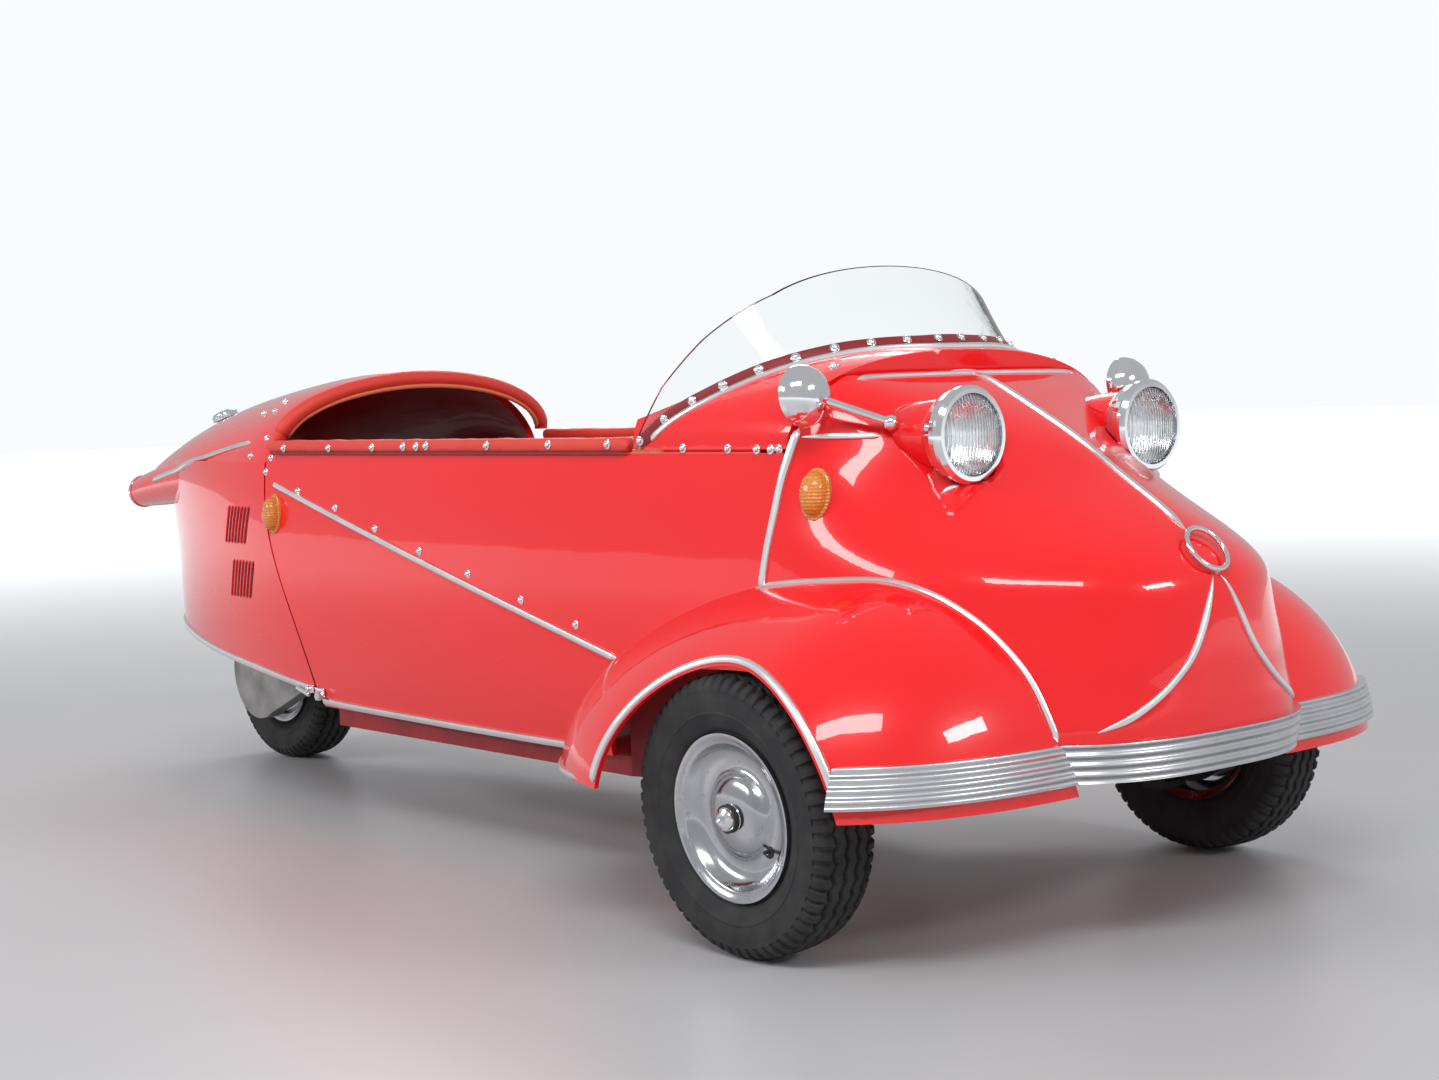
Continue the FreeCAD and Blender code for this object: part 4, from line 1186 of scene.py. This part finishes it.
DISC_PROFILE = (
    (104, 30), (109, 33), (112.2, 37), (113.2, 40.5), (112.6, 42.6), (110.6, 43.2), (107.5, 42), (104, 39.6),
    (101, 38.2), (98.6, 37.6), (97.6, 36.4), (96.2, 34), (93, 29), (89, 24.5), (84, 21), (79, 18.8),
    (73, 17.6), (67, 17.4), (62, 18.2), (58, 20), (55.6, 22.6), (54, 25), (52, 27.6), (48, 31), (42, 34),
    (35, 36.2), (27, 37.8), (20, 38.8), (12, 39.6), (5, 40.0), (0, 40.0),
)
HUB_NUT = ((0, 61), (4.6, 61), (5.8, 60), (5.8, 54), (0, 54))
HUB_CAP = ((0, 56.5), (9, 56), (14.5, 53), (17, 48), (18, 42), (19.5, 39.5), (0, 38))
HUB_PIN = ((0, 64), (2.2, 63.6), (2.4, 58), (0, 58))
VALVE_PLACE = (0.046, -0.043, 0)
VALVE_SEAT = ((0, 17.8), (6.6, 17.8), (7.6, 18.6), (9.0, 18.7), (9.6, 17.6), (9.6, 16), (0, 16))
VALVE_STEM = ((0, 27), (1.8, 26.6), (2.6, 25.6), (2.6, 16), (0, 16))


def make_wheels():
    for name, body, node in (("front_left", "front_wheel_left", "wheel_front_left"),
                             ("front_right", "front_wheel_right", "wheel_front_right"),
                             ("rear", "rear_wheel", "wheel_rear")):
        matrix = wheel_frame(name)
        tyre = finished("tread_" + name, tyre_mesh(matrix), TYRE, body, 30.0)
        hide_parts("tyre_" + name)
        finished("disc_" + name, spun(DISC_PROFILE, 96, matrix), DISC, body)
        bm = spun(HUB_NUT, 6, matrix)
        spun(HUB_CAP, 40, matrix, bm)
        spun(HUB_PIN, 12, matrix, bm)
        finished("hub_nut_" + name, bm, CHROME, body, 25.0)
        hole = matrix @ Matrix.Translation(VALVE_PLACE)
        bm = spun(VALVE_SEAT, 24, hole)
        spun(VALVE_STEM, 14, hole, bm)
        finished("valve_" + name, bm, RUBBER, body, 30.0)


# Latches between side and tail, at the foot of the seam

LATCH_KNOB = ((0, 13), (7, 12.6), (9, 11), (9.4, 6), (6, 3), (5, 0), (5, -2), (0, -2))
LATCH_PIVOT = ((0, 6), (4, 5.6), (5, 4), (5, -6), (0, -6))
LEVER_TILT = math.radians(14)


def make_latches():
    body, tail = bmesh.new(), bmesh.new()
    for side in (-1, 1):
        out = Vector((side, 0, 0))
        spun(LATCH_KNOB, 6, facing(at(side * 322, 1372, 216), out), body)
        boxed(body, at(side * 322, 1378, 222), (5, 30, 16))
        boxed(tail, at(side * 322, 1412, 226), (6, 26, 15))
        boxed(tail, at(side * 326, 1434, 220), (6, 46, 7), Matrix.Rotation(LEVER_TILT, 4, "X"), 2.0)
        spun(LATCH_PIVOT, 14, facing(at(side * 326, 1412, 226), out), tail)
    finished("side_latch_knobs", body, CHROME, "body", 30.0)
    finished("tail_latch_levers", tail, CHROME, "tail", 30.0)


make_nose_trims()
make_fender_trims()
make_side_trims()
make_tail_trims()
make_screen_trims()
make_studs()
make_belt_pads()
make_hoop_cover()
make_seats()
make_indicators()
make_nose_ring()
make_fuel_cap()
make_mirrors()
make_louvres()
make_wheels()
make_latches()


# Stage and light

FLOOR_HALF_SIZE = 40.0
FLOOR_FADE_MIDDLE = 5.2
FLOOR_FADE_WIDTH = 6.4
WORLD_STRENGTH = 0.50


def make_stage():
    bm = bmesh.new()
    bmesh.ops.create_grid(bm, x_segments=2, y_segments=2, size=FLOOR_HALF_SIZE)
    mesh = bpy.data.meshes.new("studio_floor")
    bm.to_mesh(mesh)
    bm.free()
    floor = bpy.data.objects.new("studio_floor", mesh)
    bpy.context.scene.collection.objects.link(floor)
    f = Finish("studio_floor", Specular_IOR_Level=0.4, Emission_Strength=1.0)
    stain = f.noise(0.9, 5.0)
    away = (f.axis("X") * f.axis("X") + f.axis("Y") * f.axis("Y")) ** 0.5
    far = away.over(FLOOR_FADE_MIDDLE, FLOOR_FADE_WIDTH)
    pale = f.mixed(stain, (0.50, 0.50, 0.51), (0.58, 0.58, 0.59))
    f.feed(Base_Color=f.mixed(far, pale, (0.0, 0.0, 0.0)), Roughness=0.28 + stain * 0.15,
           Emission_Color=f.mixed(far, (0.0, 0.0, 0.0), (0.93, 0.95, 0.97)))
    mesh.materials.append(f.material)


def lamp(name, place, target, size, power):
    data = bpy.data.lights.new(name, "AREA")
    data.shape = "RECTANGLE"
    data.size, data.size_y = size
    data.energy = power
    light = bpy.data.objects.new(name, data)
    aim = (Vector(target) - Vector(place)).normalized()
    light.matrix_world = facing(Vector(place), -aim)
    bpy.context.scene.collection.objects.link(light)


def make_world():
    """A soft even sky, plain white where the camera sees it itself or through glass."""
    world = bpy.data.worlds.new("studio")
    bpy.context.scene.world = world
    world.use_nodes = True
    nodes, links = world.node_tree.nodes, world.node_tree.links
    background = nodes["Background"]
    path = nodes.new("ShaderNodeLightPath")
    either = nodes.new("ShaderNodeMath")
    either.operation = "MAXIMUM"
    links.new(path.outputs["Is Camera Ray"], either.inputs[0])
    links.new(path.outputs["Is Transmission Ray"], either.inputs[1])
    strength = nodes.new("ShaderNodeMapRange")
    strength.inputs["To Min"].default_value = WORLD_STRENGTH
    strength.inputs["To Max"].default_value = 1.0
    links.new(either.outputs[0], strength.inputs["Value"])
    links.new(strength.outputs[0], background.inputs["Strength"])
    background.inputs["Color"].default_value = (0.95, 0.97, 1.0, 1.0)


def make_lamps():
    lamp("key", (-3.0, -3.4, 4.4), (0, -0.3, 0.4), (3.6, 0.9), 135)
    lamp("side", (-4.6, 1.6, 2.8), (0, 0.4, 0.4), (3.0, 0.8), 85)
    lamp("front", (1.2, -5.0, 2.6), (0, -0.8, 0.5), (1.4, 0.5), 45)
    lamp("back", (2.8, 3.6, 3.4), (0, 0.6, 0.5), (3.0, 1.0), 70)


make_stage()
make_world()
make_lamps()
bpy.context.scene.view_settings.view_transform = "Standard"
